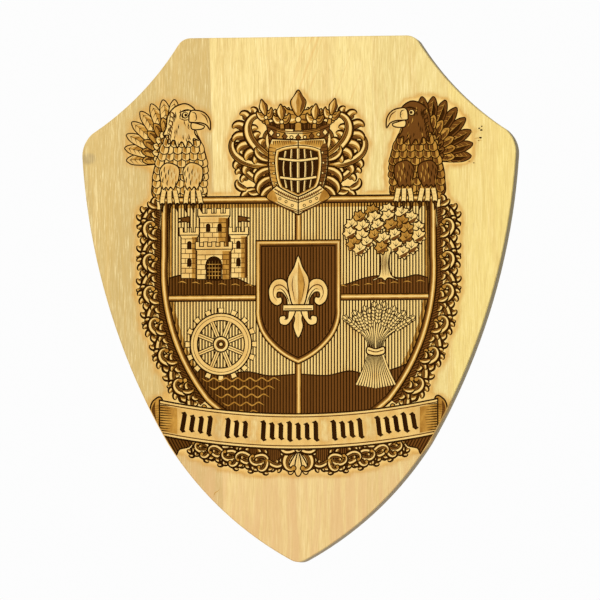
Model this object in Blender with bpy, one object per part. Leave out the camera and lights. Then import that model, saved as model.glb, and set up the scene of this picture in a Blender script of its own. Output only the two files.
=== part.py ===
"""Wooden heraldic shield plaque: one glued board, sawn to a shield, engraved on its front face.

Metres, +Z up. The front face looks along -Y and the back face lies in the plane Y = 0,
against the wall. The origin is the middle of the back face.
"""

import math

import bmesh
import bpy
from mathutils import Vector

MM = 0.001

BOARD_WIDTH = 303.0 * MM
BOARD_HEIGHT = 363.0 * MM
BOARD_THICKNESS = 18.0 * MM
EDGE_CHAMFER = 0.6 * MM
TOP_WIDTH = 152.0 * MM
ARC_STEP = 7.0 * MM

GROOVE_DEPTH = 0.6 * MM
GROOVE_PROUD = 0.15 * MM

FRAME_HALF = 96.0 * MM
FRAME_TOP = 71.0 * MM
FRAME_KNEE = (64.5 * MM, -70.5 * MM)
FRAME_TIP = -103.0 * MM
FRAME_MOULDING = 4.7 * MM
DIVIDER_LEVEL = 1.0 * MM
DIVIDER_WIDTH = 4.2 * MM

SMALL_HALF = 26.0 * MM
SMALL_TOP = 37.0 * MM
SMALL_KNEE = (18.5 * MM, -27.5 * MM)
SMALL_TIP = -41.0 * MM
SMALL_MOULDING = 3.4 * MM

RIBBON_HALF = 97.0 * MM
RIBBON_TOP = -79.5 * MM
RIBBON_FOOT = -103.5 * MM
RIBBON_RISE = 10.0 * MM
WORDS = (4, 3, 7, 4, 5)
WORD_STROKE = 6.1 * MM
WORD_GAP = 6.6 * MM
WORD_HEIGHT = 12.6 * MM

COLLAR_HALF = 23.5 * MM
COLLAR_TIP = 57.0 * MM
CROWN_HALF = 22.4 * MM
CROWN_BAND = (108.0 * MM, 119.0 * MM)
CHARGE_SPREAD = 54.0 * MM

KEYHOLE_CENTRE = 112.0 * MM
KEYHOLE_HEAD = 10.0 * MM
KEYHOLE_NECK = 5.0 * MM
KEYHOLE_RISE = 14.0 * MM
KEYHOLE_LIP = 3.0 * MM
KEYHOLE_DEPTH = 10.0 * MM

PALE_WOOD = (0.87, 0.72, 0.46, 1.0)


def clear_scene():
    for obj in list(bpy.data.objects):
        bpy.data.objects.remove(obj, do_unlink=True)


def new_collection(name):
    collection = bpy.data.collections.new(name)
    bpy.context.scene.collection.children.link(collection)
    return collection


def wood_material():
    material = bpy.data.materials.new("pale_wood")
    material.use_nodes = True
    shader = material.node_tree.nodes["Principled BSDF"]
    shader.inputs["Base Color"].default_value = PALE_WOOD
    shader.inputs["Roughness"].default_value = 0.55
    shader.inputs["Metallic"].default_value = 0.0
    return material


def arc(start, end, rise):
    """Points from start up to, but not on, end, along an arc that stands rise off its chord."""
    start, end = Vector(start), Vector(end)
    chord = end - start
    if abs(rise) < 1e-6:
        return [start]
    side = Vector((-chord.y, chord.x)).normalized()
    half = chord.length / 2
    radius = (half * half + rise * rise) / (2 * rise)
    centre = (start + end) / 2 - side * (radius - rise)
    sweep = 2 * math.asin(max(-1.0, min(1.0, half / abs(radius))))
    steps = max(2, math.ceil(abs(radius) * sweep / ARC_STEP))
    first = start - centre
    turn = -math.copysign(sweep, rise) / steps
    return [centre + Vector((first.x * math.cos(turn * k) - first.y * math.sin(turn * k),
                             first.x * math.sin(turn * k) + first.y * math.cos(turn * k)))
            for k in range(steps)]


def shield_outline():
    """The sawn outline, clockwise from the middle of the top. Each corner says how far the edge
    after it bulges out, and a negative bulge is the scoop under each upper corner."""
    top, foot, wide = BOARD_HEIGHT / 2, -BOARD_HEIGHT / 2, BOARD_WIDTH / 2
    corners = [
        ((TOP_WIDTH / 2, top), 1.2 * MM),
        ((wide * 0.557, top - 5.0 * MM), -4.6 * MM),
        ((wide * 0.952, top - 65.5 * MM), 2.3 * MM),
        ((wide, top - 83.0 * MM), 12.0 * MM),
        ((wide * 0.6, foot + 81.5 * MM), 7.4 * MM),
        ((wide * 0.033, foot + 1.3 * MM), 0.3 * MM),
        ((0.0, foot), 0.0),
    ]
    right = []
    for (point, bulge), (following, _) in zip(corners, corners[1:]):
        right += arc(point, following, bulge)
    left = [Vector((-p.x, p.y)) for p in reversed(right)]
    return right + [Vector((0.0, foot))] + left


def flat_curve(name, collection, outline, thickness, chamfer=0.0):
    """A flat outline in the plane of the wall, thickness deep, with chamfered rims."""
    curve = bpy.data.curves.new(name, "CURVE")
    curve.dimensions = "2D"
    curve.fill_mode = "BOTH"
    curve.extrude = thickness / 2 - chamfer
    curve.bevel_depth = chamfer
    curve.bevel_resolution = 0
    curve.offset = -chamfer
    spline = curve.splines.new("POLY")
    spline.points.add(len(outline) - 1)
    for point, place in zip(spline.points, outline):
        point.co = (place[0], place[1], 0.0, 1.0)
    spline.use_cyclic_u = True
    obj = bpy.data.objects.new(name, curve)
    obj.rotation_euler = (math.pi / 2, 0.0, 0.0)
    collection.objects.link(obj)
    return obj


def as_mesh(obj):
    """The same object as one closed mesh, which a Boolean can read."""
    bpy.context.view_layer.update()
    evaluated = obj.evaluated_get(bpy.context.evaluated_depsgraph_get())
    mesh = bpy.data.meshes.new_from_object(evaluated)
    solid = bmesh.new()
    solid.from_mesh(mesh)
    bmesh.ops.remove_doubles(solid, verts=solid.verts, dist=0.00001)
    bmesh.ops.recalc_face_normals(solid, faces=solid.faces)
    solid.to_mesh(mesh)
    solid.free()
    name, world = obj.name, obj.matrix_world.copy()
    collection = obj.users_collection[0]
    bpy.data.objects.remove(obj, do_unlink=True)
    made = bpy.data.objects.new(name, mesh)
    made.matrix_world = world
    collection.objects.link(made)
    return made


def round_slot(width, rise, steps=12):
    """The outline of a slot with round ends that runs up from the keyhole's centre."""
    radius = width / 2
    lower = [(radius * math.cos(a), KEYHOLE_CENTRE + radius * math.sin(a))
             for a in [math.pi + math.pi * k / steps for k in range(steps + 1)]]
    upper = [(radius * math.cos(a), KEYHOLE_CENTRE + rise + radius * math.sin(a))
             for a in [math.pi * k / steps for k in range(steps + 1)]]
    return lower + upper


def keyhole_cutters(collection):
    """A keyhole for a screw head in the back: the round way in, the neck that runs up from it,
    and the wider channel behind the neck's lips."""
    through = 2.0 * MM
    shapes = [
        ("keyhole_head", round_slot(KEYHOLE_HEAD, 0.0), -KEYHOLE_DEPTH, through),
        ("keyhole_neck", round_slot(KEYHOLE_NECK, KEYHOLE_RISE), -KEYHOLE_LIP - through, through),
        ("keyhole_channel", round_slot(KEYHOLE_HEAD, KEYHOLE_RISE), -KEYHOLE_DEPTH + 0.01 * MM, -KEYHOLE_LIP),
    ]
    made = []
    for name, outline, deep, shallow in shapes:
        cutter = flat_curve(name, collection, outline, shallow - deep)
        cutter.location.y = (shallow + deep) / 2
        made.append(as_mesh(cutter))
    return made


def cut(board, cutter):
    cutter.hide_render = True
    cutter.display_type = "WIRE"
    boolean = board.modifiers.new(cutter.name, "BOOLEAN")
    boolean.operation = "DIFFERENCE"
    boolean.object = cutter


def engrave(board, collection, lines):
    """Every line as a shallow V-shaped groove in the front face."""
    for number, (points, closed) in enumerate(lines):
        curve = bpy.data.curves.new(f"groove_{number:03d}", "CURVE")
        curve.dimensions = "3D"
        curve.fill_mode = "FULL"
        curve.bevel_depth = GROOVE_DEPTH + GROOVE_PROUD
        curve.bevel_resolution = 0
        curve.use_fill_caps = True
        spline = curve.splines.new("POLY")
        spline.points.add(len(points) - 1)
        for point, place in zip(spline.points, points):
            point.co = (place[0], -BOARD_THICKNESS - GROOVE_PROUD, place[1], 1.0)
        spline.use_cyclic_u = closed
        groove = bpy.data.objects.new(curve.name, curve)
        collection.objects.link(groove)
        groove = as_mesh(groove)
        groove.hide_render = True
        groove.display_type = "WIRE"
    boolean = board.modifiers.new("engraving", "BOOLEAN")
    boolean.operation = "DIFFERENCE"
    boolean.operand_type = "COLLECTION"
    boolean.collection = collection


def shield_line(half, top, straight, knee, tip, knee_rise, tip_rise):
    """An engraved shield, clockwise from its upper right corner."""
    right = [Vector((half, top))] + arc((half, straight), knee, knee_rise) + arc(knee, (0.0, tip), tip_rise)
    return right + [Vector((0.0, tip))] + [Vector((-p.x, p.y)) for p in reversed(right)]


def curl(start, heading, length, bend, late_bend, power=2.0, steps=9):
    """A scroll's stem, which turns by bend degrees at its root and by late_bend at its eye."""
    points = [Vector(start)]
    angle = math.radians(heading)
    for k in range(steps):
        share = (k + 0.5) / steps
        angle += math.radians(bend + (late_bend - bend) * share ** power) / steps
        points.append(points[-1] + Vector((math.cos(angle), math.sin(angle))) * (length / steps))
    return points


def smooth_line(points, closed=False, steps=2):
    """A smooth line through the points, in millimetres."""
    guide = [Vector(p) for p in points]
    if closed:
        guide = [guide[-1]] + guide + guide[:2]
    else:
        guide = [guide[0] * 2 - guide[1]] + guide + [guide[-1] * 2 - guide[-2]]
    line = []
    for a, b, c, d in zip(guide, guide[1:], guide[2:], guide[3:]):
        for k in range(steps):
            t = k / steps
            line.append((b * 2 + (c - a) * t + (a * 2 - b * 5 + c * 4 - d) * t ** 2
                         + (b * 3 - a - c * 3 + d) * t ** 3) * 0.5 * MM)
    if not closed:
        line.append(guide[-2] * MM)
    return line


def ring(x, y, radius, steps=20):
    """A circle's points, in millimetres."""
    angles = [2 * math.pi * k / steps for k in range(steps)]
    return [Vector((x + radius * math.cos(a), y + radius * math.sin(a))) for a in angles]


def ribbon_height(x, level):
    """The height of a line along the hanging ribbon, which rises towards both ends."""
    return level + RIBBON_RISE * (x / RIBBON_HALF) ** 2


def frame_lines():
    """The shield's moulded frame, from the helm's collar down to the ribbon on each side, and the
    bars that part it into quarters."""
    lines = []
    for inset in (0.0, FRAME_MOULDING):
        half, top = FRAME_HALF - inset, FRAME_TOP - inset
        knee = (FRAME_KNEE[0] - inset * 0.86, FRAME_KNEE[1] + inset * 0.5)
        sweep = arc((half, 30 * MM), knee, 9.8 * MM) + arc(knee, (0.0, FRAME_TIP + inset * 1.1), 5.0 * MM)
        shown = [p for p in sweep if p.y > ribbon_height(p.x, RIBBON_TOP) + 2 * MM]
        right = [Vector((COLLAR_HALF, top)), Vector((half, top))] + shown
        lines.append((right, False))
        lines.append(([Vector((-p.x, p.y)) for p in right], False))
    for side in (-1, 1):
        across = side * DIVIDER_WIDTH / 2
        inner, outer = SMALL_HALF + SMALL_MOULDING + 1.5 * MM, FRAME_HALF - FRAME_MOULDING - 1.5 * MM
        lines.append(([Vector((across, COLLAR_TIP - 1 * MM)),
                       Vector((across, SMALL_TOP + SMALL_MOULDING + 1.5 * MM))], False))
        lines.append(([Vector((across, SMALL_TIP - SMALL_MOULDING - 3 * MM)),
                       Vector((across, RIBBON_TOP + 2 * MM))], False))
        for level in (-1, 1):
            y = DIVIDER_LEVEL + level * DIVIDER_WIDTH / 2
            lines.append(([Vector((side * inner, y)), Vector((side * outer, y))], False))
    return lines


def small_shield_lines():
    """The small shield at the crossing, with its lily."""
    lines = []
    for inset in (-SMALL_MOULDING, 0.0):
        knee = (SMALL_KNEE[0] - inset * 0.86, SMALL_KNEE[1] + inset * 0.5)
        outline = shield_line(SMALL_HALF - inset, SMALL_TOP - inset, -6 * MM, knee,
                              SMALL_TIP + inset * 1.2, 2.4 * MM, 1.3 * MM)
        lines.append((outline, True))
    lines.append((smooth_line([(0, 30), (7.2, 14), (3.4, -3), (-3.4, -3), (-7.2, 14)], True), True))
    lines.append((smooth_line([(0, -27), (3.2, -18), (2.6, -10), (-2.6, -10), (-3.2, -18)], True), True))
    lines.append((smooth_line([(-10, -6), (10, -6)], False, 1), False))
    for side in (-1, 1):
        wing = [(4.6, -2), (9.5, 13.2), (18.6, 11), (19.6, -1), (12.8, -3), (14, 3.6), (7.4, -2)]
        toe = [(4.4, -9), (8, -18), (13.4, -15), (9.6, -11.6)]
        for line in (wing, toe):
            lines.append((smooth_line([(side * x, y) for x, y in line]), False))
    return lines


def ribbon_lines():
    """The ribbon's edges, its rolled ends, and plain slanted strokes in word-like groups."""
    lines = []
    for level in (RIBBON_TOP, RIBBON_FOOT):
        lines.append(([Vector((x, ribbon_height(x, level)))
                       for x in [RIBBON_HALF * (k / 5 - 1) for k in range(11)]], False))
    for side in (-1, 1):
        roll = [(96, -69), (101, -69.5), (103.5, -76), (101.5, -87), (96, -94.5)]
        tail = [(91, -95.5), (94, -99), (86, -107.5), (83, -103.5), (77, -101.5)]
        lines.append((smooth_line([(side * x, y) for x, y in roll]), False))
        lines.append((smooth_line([(side * x, y) for x, y in tail], False, 1), False))
    x = -(sum(WORDS) * WORD_STROKE + (len(WORDS) - 1) * WORD_GAP - WORD_STROKE) / 2
    for count in WORDS:
        for _ in range(count):
            middle = ribbon_height(x, (RIBBON_TOP + RIBBON_FOOT) / 2)
            lean = Vector((-2 * RIBBON_RISE * x / RIBBON_HALF ** 2, 1.0)).normalized() * (WORD_HEIGHT / 2)
            lines.append(([Vector((x, middle)) - lean, Vector((x, middle)) + lean], False))
            x += WORD_STROKE
        x += WORD_GAP
    return lines


def crown_lines():
    """The crown: a band that sags in the middle, five leaves and four pearls."""
    low, high = CROWN_BAND[0] / MM, CROWN_BAND[1] / MM
    half = CROWN_HALF / MM
    band = [(-half, high + 2.6), (0, high - 2.4), (half, high + 2.6), (half - 2.2, low + 2.2), (0, low - 2.8),
            (2.2 - half, low + 2.2)]
    lines = [(smooth_line(band[:3]), False), (smooth_line(band[3:]), False)]
    leaves = [(0, 117, 28, 21, 0), (-11.2, 119, 16, 12, -2), (11.2, 119, 16, 12, 2),
              (-21.4, 121.5, 17.5, 11, -5), (21.4, 121.5, 17.5, 11, 5)]
    for x, foot, height, width, lean in leaves:
        half_leaf = [(-0.1, 0.3), (-0.5, 0.42), (-0.2, 0.55), (-0.24, 0.7)]
        leaf = half_leaf + [(0, 1)] + [(-u, v) for u, v in reversed(half_leaf)]
        points = [(x + lean * v + width * u, foot + height * v) for u, v in leaf]
        lines.append((smooth_line(points, False, 1), False))
    return lines


def helm_lines():
    """The barred helm: its shell, the opening with five upright bars, and the pointed collar."""
    lines = [(smooth_line([(20, 109), (20.8, 94), (17.4, 77)]), False),
             (smooth_line([(-17.4, 77), (-20.8, 94), (-20, 109)]), False)]
    opening = [(-13.6, 101.6), (0, 104.2), (13.6, 101.6), (13.4, 85), (10.8, 77.6), (0, 72.2),
               (-10.8, 77.6), (-13.4, 85)]
    lines.append((smooth_line(opening, True, 1), True))
    for x in (-9.6, -4.8, 0, 4.8, 9.6):
        bar = [(x, 101.4 - 0.016 * x * x), (x * 1.08, 90), (x * 0.9, 76.6 + 0.03 * x * x)]
        lines.append((smooth_line(bar, False, 1), False))
    collar = [(0, 70.6), (15, 78.6), (22.5, 70.4), (0, 58), (-22.5, 70.4), (-15, 78.6)]
    lines.append((smooth_line(collar, True, 1), True))
    return lines


def scroll_lines():
    """The stems of the leafwork: the helm's mantling, the borders beside the frame, and the
    garland under the ribbon."""
    mantling = [((20, 101), 64, 25, 30, 560, 1.8, 6), ((22, 92), 2, 43, 40, 520, 2.2, 8),
                ((24, 80), 24, 36, 30, 560, 2.2, 7), ((18, 97), 30, 48, 40, 600, 2.2, 9)]
    lines = []
    for start, heading, length, bend, late_bend, power, steps in mantling:
        lines.append((curl(start, heading, length, bend, late_bend, power, steps), False))
    border = [(99.4, 63.9, -90), (99.3, 42.2, -90), (99.5, 19.5, -91), (97.8, -2.1, -99), (92.9, -23.2, -107),
              (85.1, -43.4, -115), (73.9, -63.1, -124)]
    for x, y, way in border:
        lines.append((curl((x + 0.2, y + 1.5), way + 52, 27, -30, -500, 1.7, 6), False))
    garland = [(71.8, -100.5, 18, -1), (62.0, -103.5, 17, 1), (52.1, -106.4, 15, -1), (42.1, -108.7, 10, 1),
               (32.0, -110.3, 7, -1), (21.8, -111.3, 6, 1)]
    for x, y, way, turn in garland:
        lines.append((curl((x, y), way - 34 * turn, 15, 20 * turn, 470 * turn, 1.8, 5), False))
    right = [([p * MM for p in points], closed) for points, closed in lines]
    left = [([Vector((-p.x, p.y)) for p in points], closed) for points, closed in right]
    shell = [(-3, -106), (-12, -112), (-9, -119.5), (0, -122.5), (9, -119.5), (12, -112), (3, -106)]
    return right + left + [(smooth_line(shell), False)]


def eagle_lines():
    """The supporters: an eagle's beak, head, breast and spread wing on each side."""
    lines = []
    head = [(71, 118), (59.2, 117), (62.2, 128.8), (74.6, 132), (86.6, 133.6), (92.4, 120), (91, 108)]
    breast = [(72, 115), (63.5, 92), (66, 75)]
    back = [(95, 108), (101.5, 88), (99, 75)]
    for side in (-1, 1):
        for outline in (head, breast, back):
            lines.append((smooth_line([(side * x, y) for x, y in outline]), False))
        for k in range(7):
            angle = math.radians(-8 + 15 * k)
            root = Vector((94 - 0.4 * k, 100 + 1.4 * k))
            length = 24 + 7 * math.sin(math.pi * (k + 1) / 8)
            tip = root + Vector((math.cos(angle), math.sin(angle))) * length
            lines.append(([Vector((side * p.x, p.y)) * MM for p in (root, tip)], False))
    return lines


def tower_line(left, right, foot, top, merlons):
    """A tower's outline, with battlements along its top."""
    pitch = (right - left) / (2 * merlons - 1)
    crest = []
    for k in range(merlons):
        x = left + 2 * k * pitch
        crest += [(x, top - 3.2), (x, top), (x + pitch, top), (x + pitch, top - 3.2)]
    return smooth_line([(left, foot)] + crest[1:-1] + [(right, foot)], False, 1)


def charge_lines():
    """A castle and a tree in the upper quarters, a mill wheel and a sheaf in the lower ones,
    each on its ground."""
    spread = CHARGE_SPREAD / MM
    lines = [(tower_line(-72, -46, 14, 40, 5), False), (tower_line(-69, -49, 41.5, 63, 4), False),
             (tower_line(-83, -73.5, 16, 50, 3), False), (tower_line(-44.5, -35, 14, 50, 3), False),
             (smooth_line([(-64, 14), (-64, 24), (-59, 29), (-54, 24), (-54, 14)], False, 1), False)]
    leaves = []
    for k in range(30):
        angle = 2 * math.pi * k / 30
        reach = 1.0 + 0.09 * (-1) ** k
        leaves.append(Vector((60 + 27 * reach * math.cos(angle), 46 + 17.5 * reach * math.sin(angle))) * MM)
    lines.append((leaves, True))
    for side in (-1, 1):
        trunk = [(60 + side * 8, 13), (60 + side * 3.4, 18), (60 + side * 3.4, 26)]
        lines.append((smooth_line(trunk, False, 1), False))
        hill = [(2.6, 6.5), (30, 9.5), (58, 14), (72, 15.5), (89, 15)]
        lines.append((smooth_line([(side * x, y) for x, y in hill], False, 1), False))
        shore = [(2.6, -52), (30, -51.5), (60, -50.5), (78, -43.5)]
        lines.append((smooth_line([(side * x, y) for x, y in shore], False, 1), False))
    for radius, steps in ((21.5, 20), (16.4, 18), (5.4, 8)):
        lines.append(([p * MM for p in ring(-spread, -31, radius, steps)], True))
    for k in range(8):
        angle = 2 * math.pi * (k + 0.5) / 8
        way = Vector((math.cos(angle), math.sin(angle)))
        hub = Vector((-spread, -31))
        lines.append(([(hub + way * 7) * MM, (hub + way * 14.8) * MM], False))
    for k in range(-4, 5):
        foot, tip = (spread + k * 3.2, -61 + abs(k) * 0.5), (spread + k * 6, -10 - abs(k) * 1.9)
        lines.append((smooth_line([(spread + k * 1.1, -41), foot], False, 1), False))
        lines.append((smooth_line([(spread + k * 1.1, -32), (spread + k * 2.2, -24), tip], False, 1), False))
    tie = [(spread - 6, -34), (spread + 6, -34), (spread + 6, -38.6), (spread - 6, -38.6)]
    lines.append((smooth_line(tie, True, 1), True))
    return lines


def main():
    clear_scene()
    plaque = new_collection("shield_plaque")
    cutters = new_collection("cutters")
    cutters.hide_render = True
    grooves = new_collection("engraved_lines")
    grooves.hide_render = True

    board = flat_curve("shield_board", plaque, shield_outline(), BOARD_THICKNESS, EDGE_CHAMFER)
    board.location = (0.0, -BOARD_THICKNESS / 2, 0.0)
    board = as_mesh(board)
    board.data.materials.append(wood_material())
    for cutter in keyhole_cutters(cutters):
        cut(board, cutter)
    lines = frame_lines() + small_shield_lines() + charge_lines() + ribbon_lines()
    lines += crown_lines() + helm_lines() + scroll_lines() + eagle_lines()
    engrave(board, grooves, lines)


main()
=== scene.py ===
"""The engraved shield plaque's looks: the board with its burnt engraving, camera, light and floor."""

import math

import bpy
import numpy as np
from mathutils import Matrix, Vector
from mathutils.geometry import delaunay_2d_cdt


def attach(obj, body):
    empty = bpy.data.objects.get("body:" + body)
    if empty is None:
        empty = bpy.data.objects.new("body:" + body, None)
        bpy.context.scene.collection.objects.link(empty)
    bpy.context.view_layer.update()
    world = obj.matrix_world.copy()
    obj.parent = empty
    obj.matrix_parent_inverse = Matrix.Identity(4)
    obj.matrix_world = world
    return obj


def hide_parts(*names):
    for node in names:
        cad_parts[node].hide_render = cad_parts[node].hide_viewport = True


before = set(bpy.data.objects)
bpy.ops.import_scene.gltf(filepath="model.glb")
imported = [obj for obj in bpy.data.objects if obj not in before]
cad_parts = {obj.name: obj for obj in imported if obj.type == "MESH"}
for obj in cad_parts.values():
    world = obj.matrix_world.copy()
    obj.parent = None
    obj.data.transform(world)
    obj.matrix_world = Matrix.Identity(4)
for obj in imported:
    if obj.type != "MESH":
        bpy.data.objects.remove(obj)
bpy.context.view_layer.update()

# The board in millimetres: x to the right, z up, and its front at minus the thickness.
HALF_WIDE, HALF_HIGH, TOP_HALF = 151.5, 181.5, 76.0
THICKNESS = 18.0
RIM = 0.6

# The keyhole: the height of its round hole, that hole's width, and the neck's width and rise; then the
# thickness of its lips, its depth, and how much wider it is behind them on each side.
KEYHOLE_AT, KEYHOLE_HEAD, KEYHOLE_NECK, KEYHOLE_RISE = 112.0, 10.0, 5.0, 14.0
KEYHOLE_LIP, KEYHOLE_DEEP, KEYHOLE_ROOM = 3.0, 10.0, 0.2

# The tones of the engraving, and how far the wood of each level is burnt away.
BARE, LIGHT, BROWN, DARK = range(4)
LEVEL = np.array([0, 0, 1, 2])
DEPTHS = (0.0, 0.28, 0.5)

# A line that doesn't taper, the shortest line of a hatching, and the least length that counts as one.
EVEN = (0, 0)
SHORTEST_CUT = 0.6
TINY = 1e-9

# The engraving is a pile of flat shapes: each covers those that were put before it.
shapes = []


def put(polygon, tone):
    shapes.append((np.asarray(polygon, float), tone))


def flipped(points, side):
    """The points as drawn on the right for 1, and mirrored to the left for -1."""
    return np.asarray(points, float) * (side, 1)


def facing(angle, side):
    """A direction in degrees as drawn on the right for 1, and mirrored for -1."""
    return angle if side == 1 else 180 - angle


def both(points):
    """A right half, from the middle line round to it, closed with its mirror image."""
    mirror = flipped(points, -1)[::-1]
    return np.vstack([points, mirror[mirror[:, 0] != 0]])


def unit(a):
    """The direction at an angle in radians, and the one to its left."""
    return np.array([np.cos(a), np.sin(a)]), np.array([-np.sin(a), np.cos(a)])


def cross(way, places):
    """How far each place lies to the left of a direction, times the direction's length."""
    return way[0] * places[:, 1] - way[1] * places[:, 0]


def thin_out(points, tolerance=0.035):
    """The same line with only the points that its shape needs."""
    keep = np.zeros(len(points), bool)
    keep[[0, -1]] = True
    spans = [(0, len(points) - 1)]
    while spans:
        first, last = spans.pop()
        if last - first < 2:
            continue
        chord = points[last] - points[first]
        inner = points[first + 1:last] - points[first]
        length = np.hypot(*chord)
        if length > TINY:
            off = np.abs(cross(chord, inner)) / length
        else:
            off = np.hypot(*inner.T)
        worst = int(off.argmax())
        if off[worst] > tolerance:
            middle = first + 1 + worst
            keep[middle] = True
            spans += [(first, middle), (middle, last)]
    return points[keep]


def thin_closed(polygon, tolerance=0.04):
    """A closed outline with only the points that it needs."""
    half = len(polygon) // 2
    returning = np.vstack([polygon[half:], polygon[:1]])
    return np.vstack([thin_out(polygon[:half + 1], tolerance)[:-1], thin_out(returning, tolerance)[:-1]])


def smooth(points, closed=False, pitch=0.5):
    """A smooth line through the points."""
    p = np.asarray(points, float)
    if closed:
        guide = np.vstack([p[-1], p, p[0], p[1]])
    else:
        guide = np.vstack([2 * p[0] - p[1], p, 2 * p[-1] - p[-2]])
    line = []
    for a, b, c, d in zip(guide, guide[1:], guide[2:], guide[3:]):
        steps = max(2, int(np.ceil(np.hypot(*(c - b)) / pitch)))
        t = (np.arange(steps) / steps)[:, None]
        line.append(0.5 * (2 * b + (c - a) * t + (2 * a - 5 * b + 4 * c - d) * t ** 2
                           + (3 * b - a - 3 * c + d) * t ** 3))
    line.append(p[:1] if closed else p[-1:])
    return thin_out(np.vstack(line))


def leftward(ways):
    """The unit directions to the left of these."""
    ways = ways / np.maximum(np.hypot(*ways.T), TINY)[:, None]
    return np.column_stack([-ways[:, 1], ways[:, 0]])


def normals(path):
    """The directions to the left of a path, one for each of its points."""
    return leftward(np.gradient(path, axis=0))


def lengths(path):
    """How far along a path each of its points lies."""
    return np.r_[0, np.cumsum(np.hypot(*np.diff(path, axis=0).T))]


def share(path):
    """The same from 0 at the start to 1 at the end."""
    steps = lengths(path)
    return steps / max(steps[-1], TINY)


def evenly(path, count):
    """The same path through evenly spaced points."""
    steps = lengths(path)
    places = np.linspace(0, steps[-1], count)
    return np.column_stack([np.interp(places, steps, path[:, k]) for k in (0, 1)])


def heading_at(path, k):
    """The direction of a path at one of its points, in degrees."""
    way = path[min(k + 1, len(path) - 1)] - path[max(k - 1, 0)]
    return np.degrees(np.arctan2(way[1], way[0]))


def band(path, left, right):
    """The polygon between two offsets of a path."""
    n = normals(path)
    left = np.broadcast_to(left, len(path))[:, None]
    right = np.broadcast_to(right, len(path))[:, None]
    return np.vstack([path + n * left, (path - n * right)[::-1]])


def rod(path, outer, inner, tone=BARE):
    """An even bar along a path, with dark edges."""
    put(band(path, outer, outer), DARK)
    put(band(path, inner, inner), tone)


def stroke(path, width=0.8, tone=DARK, taper=(0.25, 0.35), end=0.2):
    """A cut line that swells and thins like a graver's."""
    path = np.asarray(path, float)
    along = share(path)
    swell = np.ones(len(path))
    for part, near in zip(taper, (along, 1 - along)):
        if part:
            swell = np.minimum(swell, end + (1 - end) * np.clip(near / part, 0, 1) ** 0.7)
    half = width / 2 * swell
    put(band(path, half, half), tone)


def curve(points, width=0.8, tone=DARK, taper=(0.25, 0.35)):
    """A cut line that bends smoothly through the points."""
    stroke(smooth(points), width, tone, taper)


def ring(p, width, tone):
    """An even line along a closed outline whose last point repeats its first."""
    n = leftward(np.vstack([p[1:], p[1]]) - np.vstack([p[-2], p[:-1]])) * width / 2
    put(np.vstack([p + n, (p - n)[::-1]]), tone)


def outlined(polygon, tone=BARE, width=0.9):
    """A filled shape with an even dark outline."""
    p = np.asarray(polygon, float)
    put(p, tone)
    if np.hypot(*(p[0] - p[-1])) > 1e-6:
        p = np.vstack([p, p[:1]])
    ring(p, width, DARK)


def blob(points, tone=BARE, width=0.9, pitch=1.0):
    """A filled shape with a smooth dark outline through the points."""
    outlined(smooth(points, True, pitch), tone, width)


def patch(points, tone):
    """A filled shape with a smooth outline through the points."""
    put(smooth(points, True, 1), tone)


def disc(centre, radius, count=14, squash=1.0):
    a = np.linspace(0, 2 * np.pi, count, endpoint=False)
    return np.asarray(centre) + np.column_stack([np.cos(a) * radius, np.sin(a) * radius * squash])


def crossings(region, point, direction):
    """How far along a line each crossing with a polygon's edge lies, in order."""
    across = np.array([-direction[1], direction[0]])
    a, b = region, np.roll(region, -1, axis=0)
    da, db = (a - point) @ across, (b - point) @ across
    hit = (da > 0) != (db > 0)
    t = da[hit] / (da[hit] - db[hit])
    at = a[hit] + (b[hit] - a[hit]) * t[:, None]
    return np.sort((at - point) @ direction)


def hatch(region, angle, pitch, width):
    """Parallel dark lines cut across a region."""
    region = np.asarray(region, float)
    direction, side = unit(np.radians(angle))
    reach = region @ side
    for k in range(int(np.floor(reach.min() / pitch)) + 1, int(np.ceil(reach.max() / pitch))):
        point = side * k * pitch
        cuts = crossings(region, point, direction)
        for near, far in zip(cuts[::2], cuts[1::2]):
            if far - near > SHORTEST_CUT:
                ends = np.array([point + direction * near, point + direction * far])
                put(band(ends, width / 2, width / 2), DARK)


def turning(start, heading, length, bends, power, steps):
    """A path whose turning grows from the first bend to the second, in degrees over its whole length."""
    s = (np.arange(steps) + 0.5) / steps
    angle = np.radians(heading + np.cumsum(bends[0] + (bends[1] - bends[0]) * s ** power) / steps)
    step = np.column_stack([np.cos(angle), np.sin(angle)]) * length / steps
    return np.vstack([start, np.asarray(start) + np.cumsum(step, axis=0)])


def arc(start, end, rise, step=2.5):
    """Points from start up to, not including, end, along an arc that rises on the left of the walk."""
    start, end = np.asarray(start, float), np.asarray(end, float)
    chord = end - start
    length = np.hypot(*chord)
    radius = (length ** 2 / 4 + rise ** 2) / (2 * abs(rise))
    half = np.arcsin(min(1.0, length / 2 / radius))
    steps = max(2, int(np.ceil(2 * half * radius / step)))
    side = np.array([-chord[1], chord[0]]) / length * np.sign(rise)
    centre = (start + end) / 2 - side * (radius - abs(rise))
    out = []
    for k in range(steps):
        a = -half + 2 * half * k / steps
        out.append(centre + side * radius * np.cos(a) + chord / length * radius * np.sin(a))
    return out


def shield(half, top, straight, knee, knee_rise, tip, tip_rise):
    """A closed shield outline, clockwise from the middle of its top."""
    right = [np.array([0.0, top]), np.array([half, top])]
    right += arc((half, straight), knee, knee_rise) + arc(knee, (0, tip), tip_rise)
    left = [p * (-1, 1) for p in right[:0:-1]]
    return np.array(right + [np.array([0.0, tip])] + left)


def offset(outline, distance, sharpest=0.4):
    """A closed clockwise outline moved outwards by the distance."""
    p = np.asarray(outline, float)
    first = leftward(p - np.roll(p, 1, axis=0))
    middle = first + leftward(np.roll(p, -1, axis=0) - p)
    middle /= np.maximum(np.hypot(*middle.T), TINY)[:, None]
    scale = np.maximum((middle * first).sum(1), sharpest)
    return p + middle * (distance / scale)[:, None]


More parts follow.
